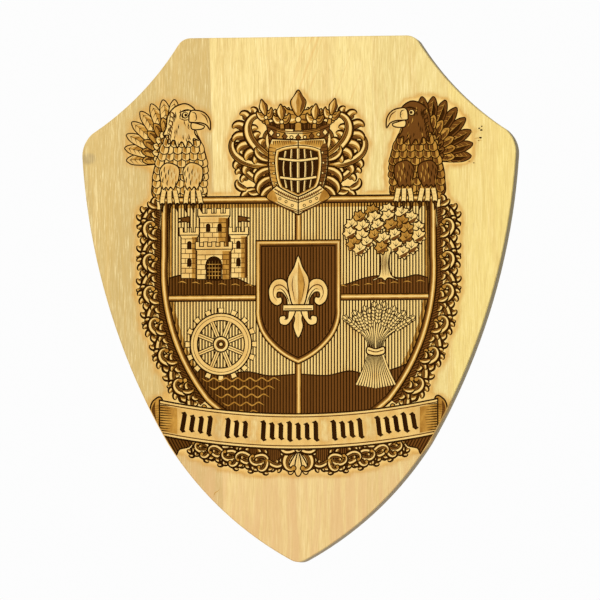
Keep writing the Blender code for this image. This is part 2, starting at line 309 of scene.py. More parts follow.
def within(polygon, room):
    """A polygon cut back to a convex outline that runs clockwise."""
    points = list(np.asarray(polygon, float))
    for a, b in zip(room, np.roll(room, -1, axis=0)):
        inward = np.array([b[1] - a[1], a[0] - b[0]])
        kept = []
        for p, q in zip(points, points[1:] + points[:1]):
            dp, dq = (p - a) @ inward, (q - a) @ inward
            if dp >= 0:
                kept.append(p)
            if (dp >= 0) != (dq >= 0):
                kept.append(p + (q - p) * dp / (dp - dq))
        points = kept
    return np.array(points)


# The quartered shield and the small one over it, in millimetres from the board's middle; then the pitch
# of the hatching, the width of the bars, and the height and the length of a wall's blocks.
FRAME = shield(96, 71, 30, (64.5, -70.5), 9.8, -103, 5)
FIELD = offset(FRAME, -5.1)
SMALL = shield(26, 37, -6, (18.5, -27.5), 2.4, -41, 1.3)
LINES = 2.1
BAR_WIDE = 3.4
COURSE, BLOCK = 3.4, 6.0


def moulding(outline, steps):
    """Nested outlines, from the outermost one inwards, each with its tone."""
    for distance, tone in steps:
        put(offset(outline, distance), tone)


def moulded_frame():
    moulding(FRAME, ((0.7, DARK), (-0.5, LIGHT), (-1.3, BARE), (-2.4, LIGHT), (-3.1, BROWN), (-4.1, DARK),
                     (-5.1, BARE), (-5.1, LIGHT), (-7.6, BARE)))
    hatch(FIELD, 90, LINES, 0.9)
    for side in (-1, 1):
        stroke([(side * 90.2, 64), (side * 90.2, 20)], 1.4, DARK, (0, 0.8))


def bar(start, end):
    """A moulded bar between two quarters."""
    path = np.array([start, end], float)
    rod(path, BAR_WIDE / 2 + 0.8, BAR_WIDE / 2, LIGHT)
    put(band(path, 0.9, 0.2), BARE)
    put(band(path, -BAR_WIDE / 2 + 0.8, BAR_WIDE / 2), BROWN)


def small_shield():
    moulding(SMALL, ((4.0, DARK), (3.1, LIGHT), (2.5, BARE), (1.6, LIGHT), (1.0, BROWN), (0.1, DARK),
                     (-0.9, BROWN)))
    hatch(offset(SMALL, -1.2), 90, LINES, 0.8)
    lily()


def lily():
    blob(both([(0, -27), (3.4, -19.5), (2.6, -14), (3, -8)]), pitch=0.5)
    toe = [(2, -8), (4, -13.5), (8, -18), (12.6, -17), (13, -12.5), (9.5, -11.5), (8.6, -13.4), (9.4, -14),
           (7.4, -13.2), (6.4, -8)]
    petal = [(2.2, -4), (4.5, 5), (9.5, 13.2), (16.5, 13.2), (20.6, 7), (19.6, -1), (15, -4.6), (11.4, -2.4),
             (11.8, 1.2), (14.6, 1.2), (14.4, 4.4), (11.2, 4.2), (8.2, 0), (7.2, -5)]
    for side in (1, -1):
        blob(flipped(toe, side), pitch=0.5)
        blob(flipped(petal, side), BARE, 1.0, 0.5)
        outer = [(4.2, -4), (7.5, 5.6), (12, 9.6), (16.4, 8.4), (17.4, 3), (15, -1.2)]
        curve(flipped(outer, side), 0.8, BROWN)
        curve(flipped([(5.6, -4), (8.8, 3.6), (12, 6.9), (14.8, 6.4)], side), 0.7)
    blob(both([(0, 30), (3.2, 22), (7.4, 14), (6.6, 5), (3.4, -5)]), BARE, 1.0, 0.5)
    put([(0, 26), (3.4, 16), (4.4, 10), (2.8, 1), (1.2, -4), (0, -4)], LIGHT)
    stroke([(0, 25), (0, -3)])
    for side in (1, -1):
        curve(flipped([(3.4, 16), (4.2, 9), (2.2, -2)], side), 0.6, BROWN)
    stroke([(0, -10), (0, -22)], 0.7)
    outlined([(-10.4, -4), (10.4, -4), (10.4, -8.2), (-10.4, -8.2)], BARE, 1.0)
    stroke([(-9.6, -6.9), (9.6, -6.9)], 0.7, BROWN, EVEN)


def masonry(x0, x1, y0, y1):
    """The joints between the blocks of a wall, course by course."""
    row = 0
    y = y0 + COURSE
    while y < y1 - 0.5:
        stroke([(x0 + 0.5, y), (x1 - 0.5, y)], 0.5, BROWN, EVEN)
        x = x0 + (BLOCK / 2 if row % 2 else BLOCK)
        while x < x1 - 0.8:
            stroke([(x, y), (x, y - COURSE)], 0.45, BROWN, EVEN)
            x += BLOCK
        y += COURSE
        row += 1


def tower(x0, x1, y0, y1, merlons, lip=1.3, shade=0.34):
    """A tower whose battlements stand out over its wall by the lip."""
    tooth = (x1 - x0 + 2 * lip) / (2 * merlons - 1)
    notch = y1 - 3.2
    top = []
    for k in range(merlons):
        a = x0 - lip + 2 * k * tooth
        top += [(a, notch), (a, y1), (a + tooth, y1), (a + tooth, notch)]
    under = notch - 2.2
    outlined([(x0, y0), (x0, under - lip), (x0 - lip, under)] + top[1:-1]
             + [(x1 + lip, under), (x1, under - lip), (x1, y0)], BARE, 0.9)
    dark = x1 - (x1 - x0) * shade
    put([(dark, y0), (dark, y1 - 6.4), (x1 - 0.4, y1 - 6.4), (x1 - 0.4, y0)], LIGHT)
    masonry(x0, x1, y0, y1 - 6.4)
    stroke([(x1 - 0.9, y0), (x1 - 0.9, y1 - 7)], 1.1, BROWN, EVEN)
    stroke([(x0 - lip, y1 - 5.2), (x1 + lip, y1 - 5.2)], 0.7, DARK, EVEN)


def ground(left, right, points, low):
    """A brown ground with a wavy top that fills the bottom of a quarter."""
    top = smooth(points)
    polygon = within(np.vstack([top, [(right, low), (left, low)]]), FIELD)
    put(polygon, BROWN)
    hatch(polygon, 90, LINES, 0.8)
    room = np.interp(top[:, 1], [-84, -70, -54, -36, -18, 2, 30], [42, 60, 72, 80.5, 86.4, 90, 91.2])
    stroke(top[np.abs(top[:, 0]) < room], 0.9, DARK, EVEN)


def archway(x0, x1, low, high, rise, step, line):
    """A dark opening with a round top."""
    top = arc((x0, high), (x1, high), rise, step)
    outlined([(x0, low), (x0, high)] + top + [(x1, high), (x1, low)], DARK, line)


def castle():
    ground(-90.4, -2.4, [(-90.4, 15), (-82, 17), (-70, 15.6), (-58, 13.4), (-44, 14.6), (-32, 9.5), (-20, 9),
                         (-2.4, 6)], 3.4)
    tower(-69, -49, 26, 63, 4)
    tower(-82, -70.5, 15, 50, 3)
    tower(-47.5, -36, 15, 50, 3)
    tower(-71, -47, 14, 40, 5, 1.0, 0.25)
    archway(-64, -54, 14, 24, 5.2, 1.0, 1.6)
    for k in range(4):
        stroke([(-62.2 + 2.1 * k, 14.4), (-62.2 + 2.1 * k, 27)], 0.5, LIGHT, (0, 0.2))
    for k in range(4):
        stroke([(-63.6, 16.6 + 2.6 * k), (-54.4, 16.6 + 2.6 * k)], 0.45, LIGHT, EVEN)
    for x, y in ((-63, 50), (-55, 50), (-76.2, 38), (-41.8, 38), (-76.2, 26), (-41.8, 26)):
        archway(x - 1.3, x + 1.3, y - 3, y + 1, 1.4, 0.7, 0.6)
    stroke([(-59, 59.5), (-59, 66.7)], 0.8, DARK, EVEN)
    flag = [(0, 0), (3.4, -0.4), (7.6, -1.2), (5.2, -2.2), (7.8, -3.8), (3, -3.4), (0, -3.8)]
    for x, side in ((-76.2, -1), (-41.8, 1)):
        stroke([(x, 46.5), (x, 57.5)], 0.8, DARK, EVEN)
        blob(flipped(flag, side) + (x, 57.5), BROWN, 0.7, 0.5)
    for k in range(9):
        x = -84 + 9.3 * k
        curve([(x, 12 - 0.5 * k), (x + 3, 12.6 - 0.5 * k), (x + 6, 11.4 - 0.5 * k)], 0.7, LIGHT)


def tree_leaf(x, y, r, tone):
    """A seven-pointed leaf with a shaded foot and three veins."""
    points = []
    for k in range(7):
        a = 2 * np.pi * k / 7 + 0.5
        for size, b in ((r, a), (r * 0.72, a + np.pi / 7)):
            points.append((x + size * np.cos(b), y + size * np.sin(b)))
    blob(points, tone, 0.8)
    shade = np.array([(-0.5, -0.55), (0.3, -0.62), (0.72, 0.1), (0.2, -0.12)]) * r + (x, y)
    patch(shade, BROWN)
    for k in (-1, 0, 1):
        a = np.pi / 2 + k * 0.75
        stroke([(x, y - r * 0.1), (x + r * 0.62 * np.cos(a), y + r * 0.62 * np.sin(a))], 0.55, DARK, (0, 0.6))


def tree():
    ground(2.4, 90.4, [(2.4, 6), (20, 9), (32, 9.5), (46, 14), (58, 15.6), (72, 14), (82, 16), (90.4, 14)],
           3.4)
    blob([(52, 12.5), (56.6, 16), (57.6, 26), (55.6, 34), (50, 40), (53.6, 40.4), (58.6, 36.2), (60.6, 42),
          (63, 42), (62.8, 35.4), (68, 40), (70.6, 38.6), (64.6, 32), (63.4, 24), (64.6, 16.4), (69.4, 12.5),
          (63, 14), (60.4, 12), (57.6, 14)], pitch=0.5)
    for k in range(5):
        cut = [(58.4 + k * 1.15, 15.5), (58.9 + k * 0.95, 24), (58.2 + k * 1.1, 33)]
        curve(cut, 0.6, BROWN if k < 3 else DARK)
    rng = np.random.default_rng(4)
    seeds = []
    for radius, count, middle in ((21.5, 15, 45), (14.5, 10, 45.5), (7, 5, 46)):
        for k in range(count):
            a = 2 * np.pi * (k + 0.35 * rng.random()) / count + radius
            seeds.append((60 + radius * 1.12 * np.cos(a), middle + radius * 0.74 * np.sin(a)))
    seeds = [seed for seed in seeds if seed[1] > 31.5 or abs(seed[0] - 60) > 8]
    seeds.sort(key=lambda seed: -seed[1])
    for number, (x, y) in enumerate(seeds):
        tree_leaf(x, y, 5.0 + 0.7 * rng.random(), LIGHT if number % 3 == 1 else BARE)
    for k in range(9):
        x = 10 + 9.0 * k
        curve([(x, 7.4 + 0.5 * k), (x + 3, 8.2 + 0.5 * k), (x + 6, 7.2 + 0.5 * k)], 0.7, LIGHT)


def mill_wheel():
    ground(-86, -2.4, [(-84, -40), (-74, -46), (-62, -50), (-50, -52), (-36, -50), (-20, -53), (-2.4, -52)],
           -84)
    c = np.array([-54.0, -31.0])
    for k in range(16):
        d, n = unit(2 * np.pi * k / 16)
        corners = ((19, 1.5), (25, 2.1), (25, -2.1), (19, -1.5))
        outlined([c + d * out + n * aside for out, aside in corners], BARE, 0.85)
    outlined(disc(c, 21.5, 48), BARE, 1.0)
    for radius, count, tone in ((19.6, 48, BROWN), (19.2, 48, BARE), (16.9, 40, DARK), (16.0, 40, BARE)):
        put(disc(c, radius, count), tone)
    hatch(disc(c, 16.0, 40), 90, LINES, 1.0)
    for k in range(8):
        d = unit(2 * np.pi * (k + 0.5) / 8)[0]
        spoke = np.array([c + d * 3, c + d * 16.6])
        rod(spoke, 1.9, 1.2)
        stroke(spoke, 0.5, BROWN, EVEN)
    outlined(disc(c, 5.4, 24), BARE, 1.0)
    put(disc(c, 3.4, 16), BROWN)
    outlined(disc(c, 1.6, 10))
    for k in range(5):
        y = -55.5 - 5.6 * k
        wave = [(-80 + 6 * k * 0.8 + 4.2 * i, y + (1.1 if i % 2 else -1.1)) for i in range(17 - 2 * k)]
        wave = [w for w in wave if -np.interp(w[1], [-84, -70, -54], [40, 58, 70]) < w[0] < -5]
        curve(wave, 0.9, LIGHT, (0.1, 0.1))


def wheat_ear(root, bend, tip):
    """A stalk that ends in five pairs of grains and one more at the tip."""
    path = smooth([root, bend, tip])
    rod(path, 1.0, 0.45)
    way = tip - path[-2]
    way /= np.hypot(*way)
    n = np.array([-way[1], way[0]])
    for k in range(5):
        at = tip - way * (2.3 * (4 - k) - 2)
        for side in (-1, 1):
            grain = [at, at + n * side * 1.9 + way * 1.0, at + n * side * 1.7 + way * 3.4, at + way * 2.4]
            blob(grain, BARE, 0.6, 0.9)
    blob([tip + way * 2, tip + way * 4 + n * 1.1, tip + way * 6.4, tip + way * 4 - n * 1.1], BARE, 0.6, 0.9)


def sheaf():
    ground(2.4, 86, [(2.4, -52), (20, -53), (36, -50), (50, -53), (62, -50), (74, -46), (84, -40)], -84)
    x, y = 54.0, -36.0
    for k in range(-7, 8):
        rod(smooth([(x + k * 0.55, y), (x + k * 1.2, -49), (x + k * 1.9, -62 + abs(k) * 0.35)]), 1.1, 0.55)
    for k in sorted(range(-7, 8), key=lambda number: -abs(number)):
        tip = np.array([x + 2 + k * 2.9, -10 - abs(k) * 1.3 + 3.0 * (k % 2)])
        wheat_ear((x + k * 0.5, y), (x + k * 1.0, -27), tip)
    tie = np.array([(-5.6, 2.6), (0, 1.2), (5.6, 2.6), (6, -2), (0, -3.6), (-6, -2)])
    blob(tie + (x, y), BARE, 1.0, 0.5)
    curve([(x - 5.4, y + 0.4), (x, y - 1.0), (x + 5.4, y + 0.4)], 0.8, BROWN, EVEN)


# The ribbon's half width, and how far its ends rise above its middle.
RIBBON_HALF, RIBBON_RISE = 97.0, 10.0
RIBBON_TOP, RIBBON_LOW = -79.5, -103.5

# The slanted strokes on the ribbon: how many in each group, their height, and their distances.
GROUPS, SLANT_HIGH, SLANT_STEP, GROUP_GAP = (4, 3, 7, 4, 5), 12.6, 6.1, 6.6


def strip(upper, lower, tone):
    put(np.vstack([upper, lower[::-1]]), tone)


def ribbon():
    x = np.linspace(-RIBBON_HALF, RIBBON_HALF, 63)
    rise = RIBBON_RISE * (x / RIBBON_HALF) ** 2
    top, low = np.column_stack([x, RIBBON_TOP + rise]), np.column_stack([x, RIBBON_LOW + rise])
    for side in (-1, 1):
        tail = [(76, -97), (90, -91), (94, -99), (86, -107.5), (83, -103.5), (76, -101.5)]
        tail = smooth(flipped(tail, side), True, 1)
        outlined(tail, BROWN, 1.0)
        hatch(tail, 62 * side, 1.9, 0.8)
        roll = [(95, -69), (101, -69.5), (103.5, -76), (101.5, -87), (96, -94.5), (93, -93)]
        blob(flipped(roll, side), LIGHT, 1.1)
        shade = [(100, -70.6), (102.4, -76), (100.6, -86.4), (96.6, -92), (99, -84), (100.2, -76)]
        patch(flipped(shade, side), BROWN)
        for k in range(13):
            line = [(93, -72.5 - 1.65 * k), (102 - 0.3 * k, -74 - 1.5 * k)]
            stroke(flipped(line, side), 0.9, DARK, (0.1, 0.5))
    strip(top + (0, 0.7), low - (0, 0.9), DARK)
    strip(top - (0, 0.4), low + (0, 0.4), BARE)
    for line in (top - (0, 2.0), low + (0, 2.0)):
        stroke(thin_out(line), 0.8, BROWN, EVEN)
    for side in (-1, 1):
        end = x * side > 84
        strip((top - (0, 3.0))[end], (low + (0, 3.0))[end], LIGHT)
        stroke(flipped([top[-1] + (0, 0.6), low[-1] - (0, 0.8)], side), 1.0, DARK, EVEN)
        for k in range(12):
            y = -72.8 - 1.75 * k
            long = 8.5 - 0.4 * abs(k - 5)
            stroke([(side * 96.4, y), (side * (96.4 - long), y - 0.6)], 0.9, DARK, (0, 0.7))


def slanted_strokes():
    """A row of plain slanted strokes along the ribbon, in groups; they are no letters."""
    x = -(sum(GROUPS) * SLANT_STEP + (len(GROUPS) - 1) * GROUP_GAP) / 2 + SLANT_STEP / 2
    for count in GROUPS:
        for k in range(count):
            c = np.array([x, (RIBBON_TOP + RIBBON_LOW) / 2 + RIBBON_RISE * (x / RIBBON_HALF) ** 2])
            slope = 2 * RIBBON_RISE * x / RIBBON_HALF ** 2
            tall = SLANT_HIGH * (1.0 if k % 3 else 1.18) / 2
            up = np.array([-slope, 1.0]) / np.hypot(slope, 1)
            way = np.array([up[1], -up[0]])
            corners = ((tall, 0.25), (tall - 2.0, 1.75), (2.2 - tall, 1.75), (1.1 - tall, 2.8),
                       (-tall, 0.5), (1.8 - tall, -1.5), (tall - 2.2, -1.5), (tall - 1.2, -2.6))
            put([c + up * high + way * aside for high, aside in corners], DARK)
            x += SLANT_STEP
        x += GROUP_GAP


# The width of a leaf's lobe and of a scroll's stem along their lengths, as shares; then how much
# heavier their shaded edge is, half the width of their edges, and a lobe's whole turn in degrees.
LOBE_AT, LOBE_WIDE = [0.0, 0.15, 0.35, 0.6, 0.8, 0.92, 1.0], [0.5, 0.85, 1.08, 1.0, 0.66, 0.36, 0.1]
STEM_AT, STEM_WIDE = [0, 0.15, 0.5, 0.8, 0.93, 1.0], [0.6, 0.9, 1.0, 0.66, 0.5, 0.42]
HEAVY = 0.75
LOBE_LINE, STEM_LINE = 0.3825, 0.4
CURL = 120

# Rows of lobes: where along the stem each grows, its length, and its angle away from the stem.
BORDER_LOBES = [(0.2, 7.4, 36), (0.38, 7.0, 36), (0.56, 6, 40), (0.72, 4.6, 44)], [(0.3, 6, 32)]
GARLAND_LOBES = [(0.28, 5.4, 36), (0.52, 4.8, 40)], [(0.3, 4.6, 32)]


def leaf_body(path, half, line, least, way):
    """A leaf's dark edge, heavier on its shaded side, and its light face."""
    heavy = half + line + HEAVY * np.sin(np.pi * share(path))
    edge = (half + line, heavy) if way > 0 else (heavy, half + line)
    put(thin_closed(band(path, *edge)), DARK)
    face = np.maximum(half - line, least)
    put(thin_closed(band(path, face, face)), LIGHT)


def vein(path, aside, span, width, tone, taper, end):
    """A line cut along part of a leaf, beside its middle."""
    s = share(path)
    cut = (s > span[0]) & (s < span[1])
    stroke(thin_out((path + normals(path) * aside[:, None])[cut]), width, tone, taper, end)


def lobe(side, base, heading, length, curl, width):
    """A leaf's lobe that bends over to a blunt point; curl is its whole turn in degrees."""
    curl = curl * side
    way = np.sign(curl)
    path = turning(flipped(base, side), facing(heading, side), length, (curl * 0.3, curl * 2.4), 2.0, 14)
    half = np.interp(share(path), LOBE_AT, LOBE_WIDE) * width / 2
    leaf_body(path, half, LOBE_LINE, 0.04, way)
    vein(path, -way * (half * 0.4), (0.04, 0.9), width * 0.3, BARE, (0.3, 0.4), 0.12)
    vein(path, way * (half * 0.55), (0.04, 0.9), width * 0.32, BROWN, (0.3, 0.5), 0.1)
    vein(path, way * (half * 0.12), (0.04, 0.72), 0.5, DARK, (0.1, 0.7), 0.12)


def scroll(side, start, heading, length, bends, width, way, power, outer=(), inner=(), lobe_width=0.95):
    """An acanthus scroll: lobes along both its sides, then the curling stem with a round eye on top."""
    way = way * side
    bends = (bends[0] * way, bends[1] * way)
    path = turning(flipped(start, side), facing(heading, side), length, bends, power, 40)
    n = normals(path)
    for places, hand in ((outer, -way), (inner, way)):
        for at, size, turn in places[::-1]:
            k = int(at * 40)
            base = path[k] + n[k] * hand * width * 0.12
            wide = width * lobe_width * (1 - 0.3 * at)
            lobe(1, base, heading_at(path, k) + turn * hand, size, hand * CURL, wide)
    half = np.interp(share(path), STEM_AT, STEM_WIDE) * width / 2
    eye = path[-1] + n[-1] * way * half[-1] * 0.4
    put(disc(eye, width * 0.36 + 0.4, 14), DARK)
    leaf_body(path, half, STEM_LINE, 0.05, way)
    put(disc(eye, width * 0.36 - 0.4, 12), LIGHT)
    vein(path, -way * (half * 0.4), (0.03, 0.94), width * 0.3, BARE, (0.2, 0.4), 0.1)
    vein(path, way * (half * 0.5), (0.03, 0.94), width * 0.24, BROWN, (0.3, 0.4), 0.1)
    vein(path, way * (half * 0.1), (0.03, 0.94), 0.5, DARK, (0.3, 0.5), 0.1)


def mantling(side):
    """One side of the helm's mantling: loose lobes behind and before four scrolls."""
    back = smooth(flipped([(12, 70), (17, 100), (25, 97), (29, 90), (30, 80), (33, 71)], side), True, 1)
    put(back, BROWN)
    hatch(back, 90, 1.4, 0.6)
    for row in (((30, 76), -12, 14, -90, 4.4), ((36, 76), 10, 11, 110, 4.0), ((26, 75), -30, 10, 80, 3.6)):
        lobe(side, *row)
    scroll(side, (24, 80), 24, 36, (-30, -560), 5.0, -1, 2.2,
           [(0.16, 10, 34), (0.3, 11, 36), (0.44, 10.5, 38), (0.58, 9, 42)], [(0.3, 8, 34), (0.46, 7, 36)])
    scroll(side, (22, 92), 2, 43, (-40, -520), 5.2, -1, 2.2,
           [(0.12, 11, 32), (0.25, 12.5, 34), (0.38, 12.5, 36), (0.5, 11, 38), (0.62, 9, 42)],
           [(0.26, 9, 34), (0.42, 8, 36)], 1.05)
    scroll(side, (20, 101), 64, 25, (-30, -560), 4.6, -1, 1.8, [(0.22, 8, 34), (0.42, 7.4, 36), (0.6, 6, 40)])
    scroll(side, (18, 97), 30, 48, (40, 600), 6.0, 1, 2.2,
           [(0.1, 11, 30), (0.22, 14, 30), (0.34, 15, 32), (0.46, 14, 34), (0.58, 12, 38), (0.7, 9, 42),
            (0.8, 6, 46)],
           [(0.22, 9, 30), (0.36, 9, 32), (0.5, 8, 34)], 1.1)
    for row in (((18, 90), -6, 18, -110, 4.8), ((18, 84), -14, 17, -110, 4.6),
                ((17, 78), -22, 15, -100, 4.2), ((20, 96), 14, 15, 90, 4.2)):
        lobe(side, *row)


def fleuron(at, height, width, lean=0.0):
    """A three-lobed leaf of the crown."""
    c, s = np.cos(np.radians(lean)), np.sin(np.radians(lean))
    turn = np.array([[c, -s], [s, c]])

    def place(points, side=1):
        return (flipped(points, side) * (width, height)) @ turn.T + np.asarray(at)

    put(place([(-0.18, -0.02), (-0.14, 0.3), (0.14, 0.3), (0.18, -0.02)]), DARK)
    put(place([(-0.1, 0), (-0.08, 0.3), (0.08, 0.3), (0.1, 0)]), LIGHT)
    petal = [(0, 0.24), (0.2, 0.16), (0.42, 0.24), (0.54, 0.44), (0.48, 0.6), (0.34, 0.52), (0.2, 0.5),
             (0, 0.44)]
    for side, upper, lower in ((-1, BARE, BROWN), (1, BROWN, DARK)):
        blob(place(petal, side), LIGHT, 0.9, 0.7)
        curve(place([(0.08, 0.28), (0.28, 0.26), (0.42, 0.38), (0.47, 0.52)], side), 0.09 * width, upper)
        curve(place([(0.08, 0.38), (0.24, 0.4), (0.36, 0.46)], side), 0.7, lower)
    blob(place(both([(0, 1.0), (0.15, 0.84), (0.26, 0.7), (0.17, 0.48), (0, 0.34)])), LIGHT, 0.9, 0.7)
    curve(place([(-0.03, 0.93), (-0.14, 0.7), (-0.06, 0.44)]), 0.13 * width, BARE, (0.3, 0.3))
    curve(place([(0.04, 0.93), (0.17, 0.7), (0.07, 0.44)]), 0.11 * width, BROWN, (0.3, 0.3))
    stroke(place([(0, 0.92), (0, 0.4)]), 0.7)
    outlined(disc(place([(0, 0.27)])[0], 0.07 * width + 0.6, 10), BARE, 0.7)


def crown():
    for x, lean, tall in ((-15.5, 4, 9), (15.5, -4, 9), (-6.5, 2, 10), (6.5, -2, 10)):
        fleuron((x, 122.6), tall, 7.5, lean)
    rim = np.vstack([smooth([(-22, 121.5), (-12, 124.4), (0, 125.4), (12, 124.4), (22, 121.5)]),
                     smooth([(22, 121.5), (12, 118), (0, 117), (-12, 118), (-22, 121.5)])[1:-1]])
    outlined(rim, BROWN, 0.9)
    hatch(rim, 90, 1.3, 0.6)
    low = smooth([(20.2, 110.2), (10, 106.4), (0, 105.2), (-10, 106.4), (-20.2, 110.2)])
    high = smooth([(-22.4, 121.6), (-12, 117.9), (0, 116.7), (12, 117.9), (22.4, 121.6)])
    outlined(np.vstack([high, low]), LIGHT, 1.1)
    for side in (-1, 1):
        put(flipped([(22, 121), (15.4, 118.9), (14.0, 107.9), (19.8, 109.8)], side), BROWN)
    put([(-9, 117.4), (3, 116.9), (3, 105.5), (-9, 106.3)], BARE)
    for shift, tone, wide in ((-2.4, DARK, 0.6), (-1.2, BROWN, 0.8), (-8.4, DARK, 0.7), (-9.8, BROWN, 1.2)):
        stroke(high * (0.985 + shift * 0.004, 1) + (0, shift), wide, tone, EVEN)
    for k in range(-4, 5):
        x = k * 4.7
        y = 111.6 + 4.4 * (abs(x) / 21) ** 2
        if k % 2 == 0:
            gem = [(x, y + 2.3), (x + 1.9, y), (x, y - 2.3), (x - 1.9, y)]
            outlined(gem, BARE if abs(k) > 2 else BROWN, 0.8)
        else:
            outlined(disc((x, y), 1.15, 10), BARE, 0.7)
    for k in (-3, -1, 1, 3):
        x = k * 5.6
        y = 117.2 + 3.5 * (abs(x) / 21) ** 2
        stroke([(x, y), (x * 1.02, y + 6)], 1.6, DARK, EVEN)
        outlined(disc((x * 1.02, y + 7.4), 1.9, 12), LIGHT, 0.8)
        curve([(x * 1.02 + 0.8, y + 6.6), (x * 1.02 + 1.0, y + 7.8)], 0.6, BROWN)
    fleuron((0, 116.6), 28, 21)
    for x, y, tall, wide, lean in ((11.2, 118, 17, 12, 4), (21.4, 121, 18, 11, 14)):
        for side in (1, -1):
            fleuron((side * x, y), tall, wide, -side * lean)


def helm_shell():
    """The helm's steel, with a light plate on top and hatched cheeks."""
    outlined(both([(0, 110), (10, 110.5), (18.4, 111), (19.8, 107.6), (20.4, 104), (20.7, 99), (20.8, 94),
                   (20.4, 89), (19.6, 84), (18.6, 80), (17.2, 76), (14.6, 70), (0, 62)]), BARE, 1.2)
    for side in (-1, 1):
        patch(flipped([(2, 109), (17, 109.4), (15.6, 104.6), (8.4, 106.2), (1.6, 107)], side), LIGHT)
        for k in range(9):
            x = 17.6 - 1.5 * k
            line = flipped([(x, 109.6), (x - 0.6, 105.8 + 0.18 * k)], side)
            stroke(line, 0.7, BROWN if k > 3 else DARK, (0, 0.8))
    cheek = [(19.8, 107), (20, 94), (18.8, 84), (14.6, 72), (13.6, 80), (15.6, 92), (15.4, 104)]
    for side, shade, cut in ((-1, LIGHT, BROWN), (1, BROWN, DARK)):
        patch(flipped(cheek, side), shade)
        for k in range(12):
            y = 105 - 2.6 * k
            stroke(flipped([(20.2, y), (15.2 - 0.1 * k, y - 0.8)], side), 0.7, cut, (0, 0.8))


def helm_opening():
    """The dark opening with its moulded edge, five upright bars and two across."""
    opening = both([(0, 104.2), (3.6, 104.0), (7, 103.6), (10.6, 102.8), (13.6, 101.6), (14.2, 98),
                    (14.3, 94), (13.9, 89), (13.2, 84), (12.2, 80.4), (10.8, 77.6), (5.4, 74.8), (0, 72.2)])
    moulding(opening, ((2.4, DARK), (1.7, BARE), (0.7, LIGHT)))
    put(opening, DARK)
    for x, wide in ((-9.6, 1.1), (-4.9, 1.3), (0, 1.7), (4.9, 1.3), (9.6, 1.1)):
        path = smooth([(x * 0.92, 104 - 0.018 * x * x), (x * 1.06, 90), (x * 0.86, 73.6 + 0.036 * x * x)])
        rod(path, wide / 2 + 0.35, wide / 2)
        stroke(path + (wide * 0.25, 0), 0.5, BROWN, EVEN)
    for y, wide in ((96.5, 13.6), (83.5, 12.6)):
        rod(smooth([(-wide, y + 0.7), (0, y - 0.8), (wide, y + 0.7)]), 1.15, 0.65)
    for side in (-1, 1):
        for x, y in ((16.9, 101), (17.6, 94), (17.0, 87), (15.6, 80)):
            outlined(disc((side * x, y), 0.8, 8), BARE, 0.5)
    stroke([(0, 110), (0, 104)], 0.9, DARK, EVEN)


def helm_collar():
    outlined(both([(0, 70.6), (4, 72.2), (8, 74.2), (12, 76.4), (15, 78.6), (18, 76.2), (20.5, 73.2),
                   (22.5, 70.4), (19.4, 68), (16, 66), (8, 62.4), (4, 60.3), (0, 58)]), BARE, 1.1)
    for side in (-1, 1):
        for k in range(11):
            x = 14.4 - 1.25 * k
            line = [(x, 75.4 - 0.52 * k), (x - 1.0, 71.6 - 0.5 * k)]
            stroke(flipped(line, side), 0.7, BROWN, (0, 0.7))
    for y0, x1, y1, tone, wide in ((68.4, 16.6, 76.2, BROWN, 1.0), (66.6, 17.8, 74.6, DARK, 0.6),
                                   (61.0, 20.6, 70.8, DARK, 0.6), (59.8, 21.2, 69.6, BROWN, 0.8)):
        for side in (-1, 1):
            line = [(0, y0), (x1 / 2, (y0 + y1) / 2 - 0.9), (x1, y1)]
            curve(flipped(line, side), wide, tone, EVEN)
    for side in (-1, 1):
        for k in range(4):
            y = 65.2 + 2.1 * k if k else 64.7
            outlined(disc((side * (4.2 + 4.3 * k), y), 0.85, 8), BARE, 0.5)
        patch(flipped([(17.6, 75.4), (21.8, 70.4), (16, 67.2), (14.5, 68.4)], side), LIGHT)
    stroke([(0, 71), (0, 58.4)], 0.9, DARK, EVEN)


def border(side):
    """The acanthus that runs down one side of the frame: pairs of scrolls with small lobes between."""
    edge = offset(FRAME, 3.2)
    right = edge[(edge[:, 0] > 0) & (edge[:, 1] < 62) & (edge[:, 1] > -78)]
    path = evenly(np.vstack([(99.4, 66), right]), 150)
    back = thin_closed(band(path[3:-8], 1.6, 2.6)) * (side, 1)
    put(back, BROWN)
    hatch(back, facing(25, side), 1.5, 0.6)
    for number in range(7):
        k = int((number + 0.12) / 7 * (len(path) - 1))
        p, a = path[k], heading_at(path, k)
        if number:
            scroll(side, p + (0.2, -1.5), a + 120, 21, (30, 500), 4.6, 1, 1.7, *BORDER_LOBES)
        scroll(side, p + (0.2, 1.5), a + 52, 27, (30, 500), 4.6, -1, 1.7, *BORDER_LOBES)
        for lean, size in ((-52, 8.5), (52, 8.5), (-20, 7.5), (20, 7.5)):
            lobe(side, p, a + 90 + lean, size, lean * 2.4, 3.3)


def garland(side):
    """One side of the acanthus that hangs under the ribbon."""
    back = flipped(smooth([(0, -100), (30, -101), (52, -102.5), (66, -102), (48, -108), (30, -112.6),
                           (12, -116.5), (0, -117)]), side)
    put(back, BROWN)
    hatch(back, 90, 1.4, 0.6)
    stem = evenly(smooth([(6, -113), (20, -111.5), (34, -110), (48, -107.5), (62, -103.5), (78, -98.5)]), 80)
    for number, at in enumerate((0.92, 0.78, 0.64, 0.5, 0.36, 0.22)):
        k = int(at * (len(stem) - 1))
        p, a = stem[k], heading_at(stem, k)
        turn = 1 if number % 2 else -1
        size = 13.5 + 0.6 * number
        for heading, way, long in ((a - 34 * turn, turn, size), (a + 180 + 34 * turn, -turn, size * 0.95),
                                   (a - 90, turn, size * 0.7)):
            scroll(side, p, heading, long, (20, 470), 3.7, way, 1.8, *GARLAND_LOBES)


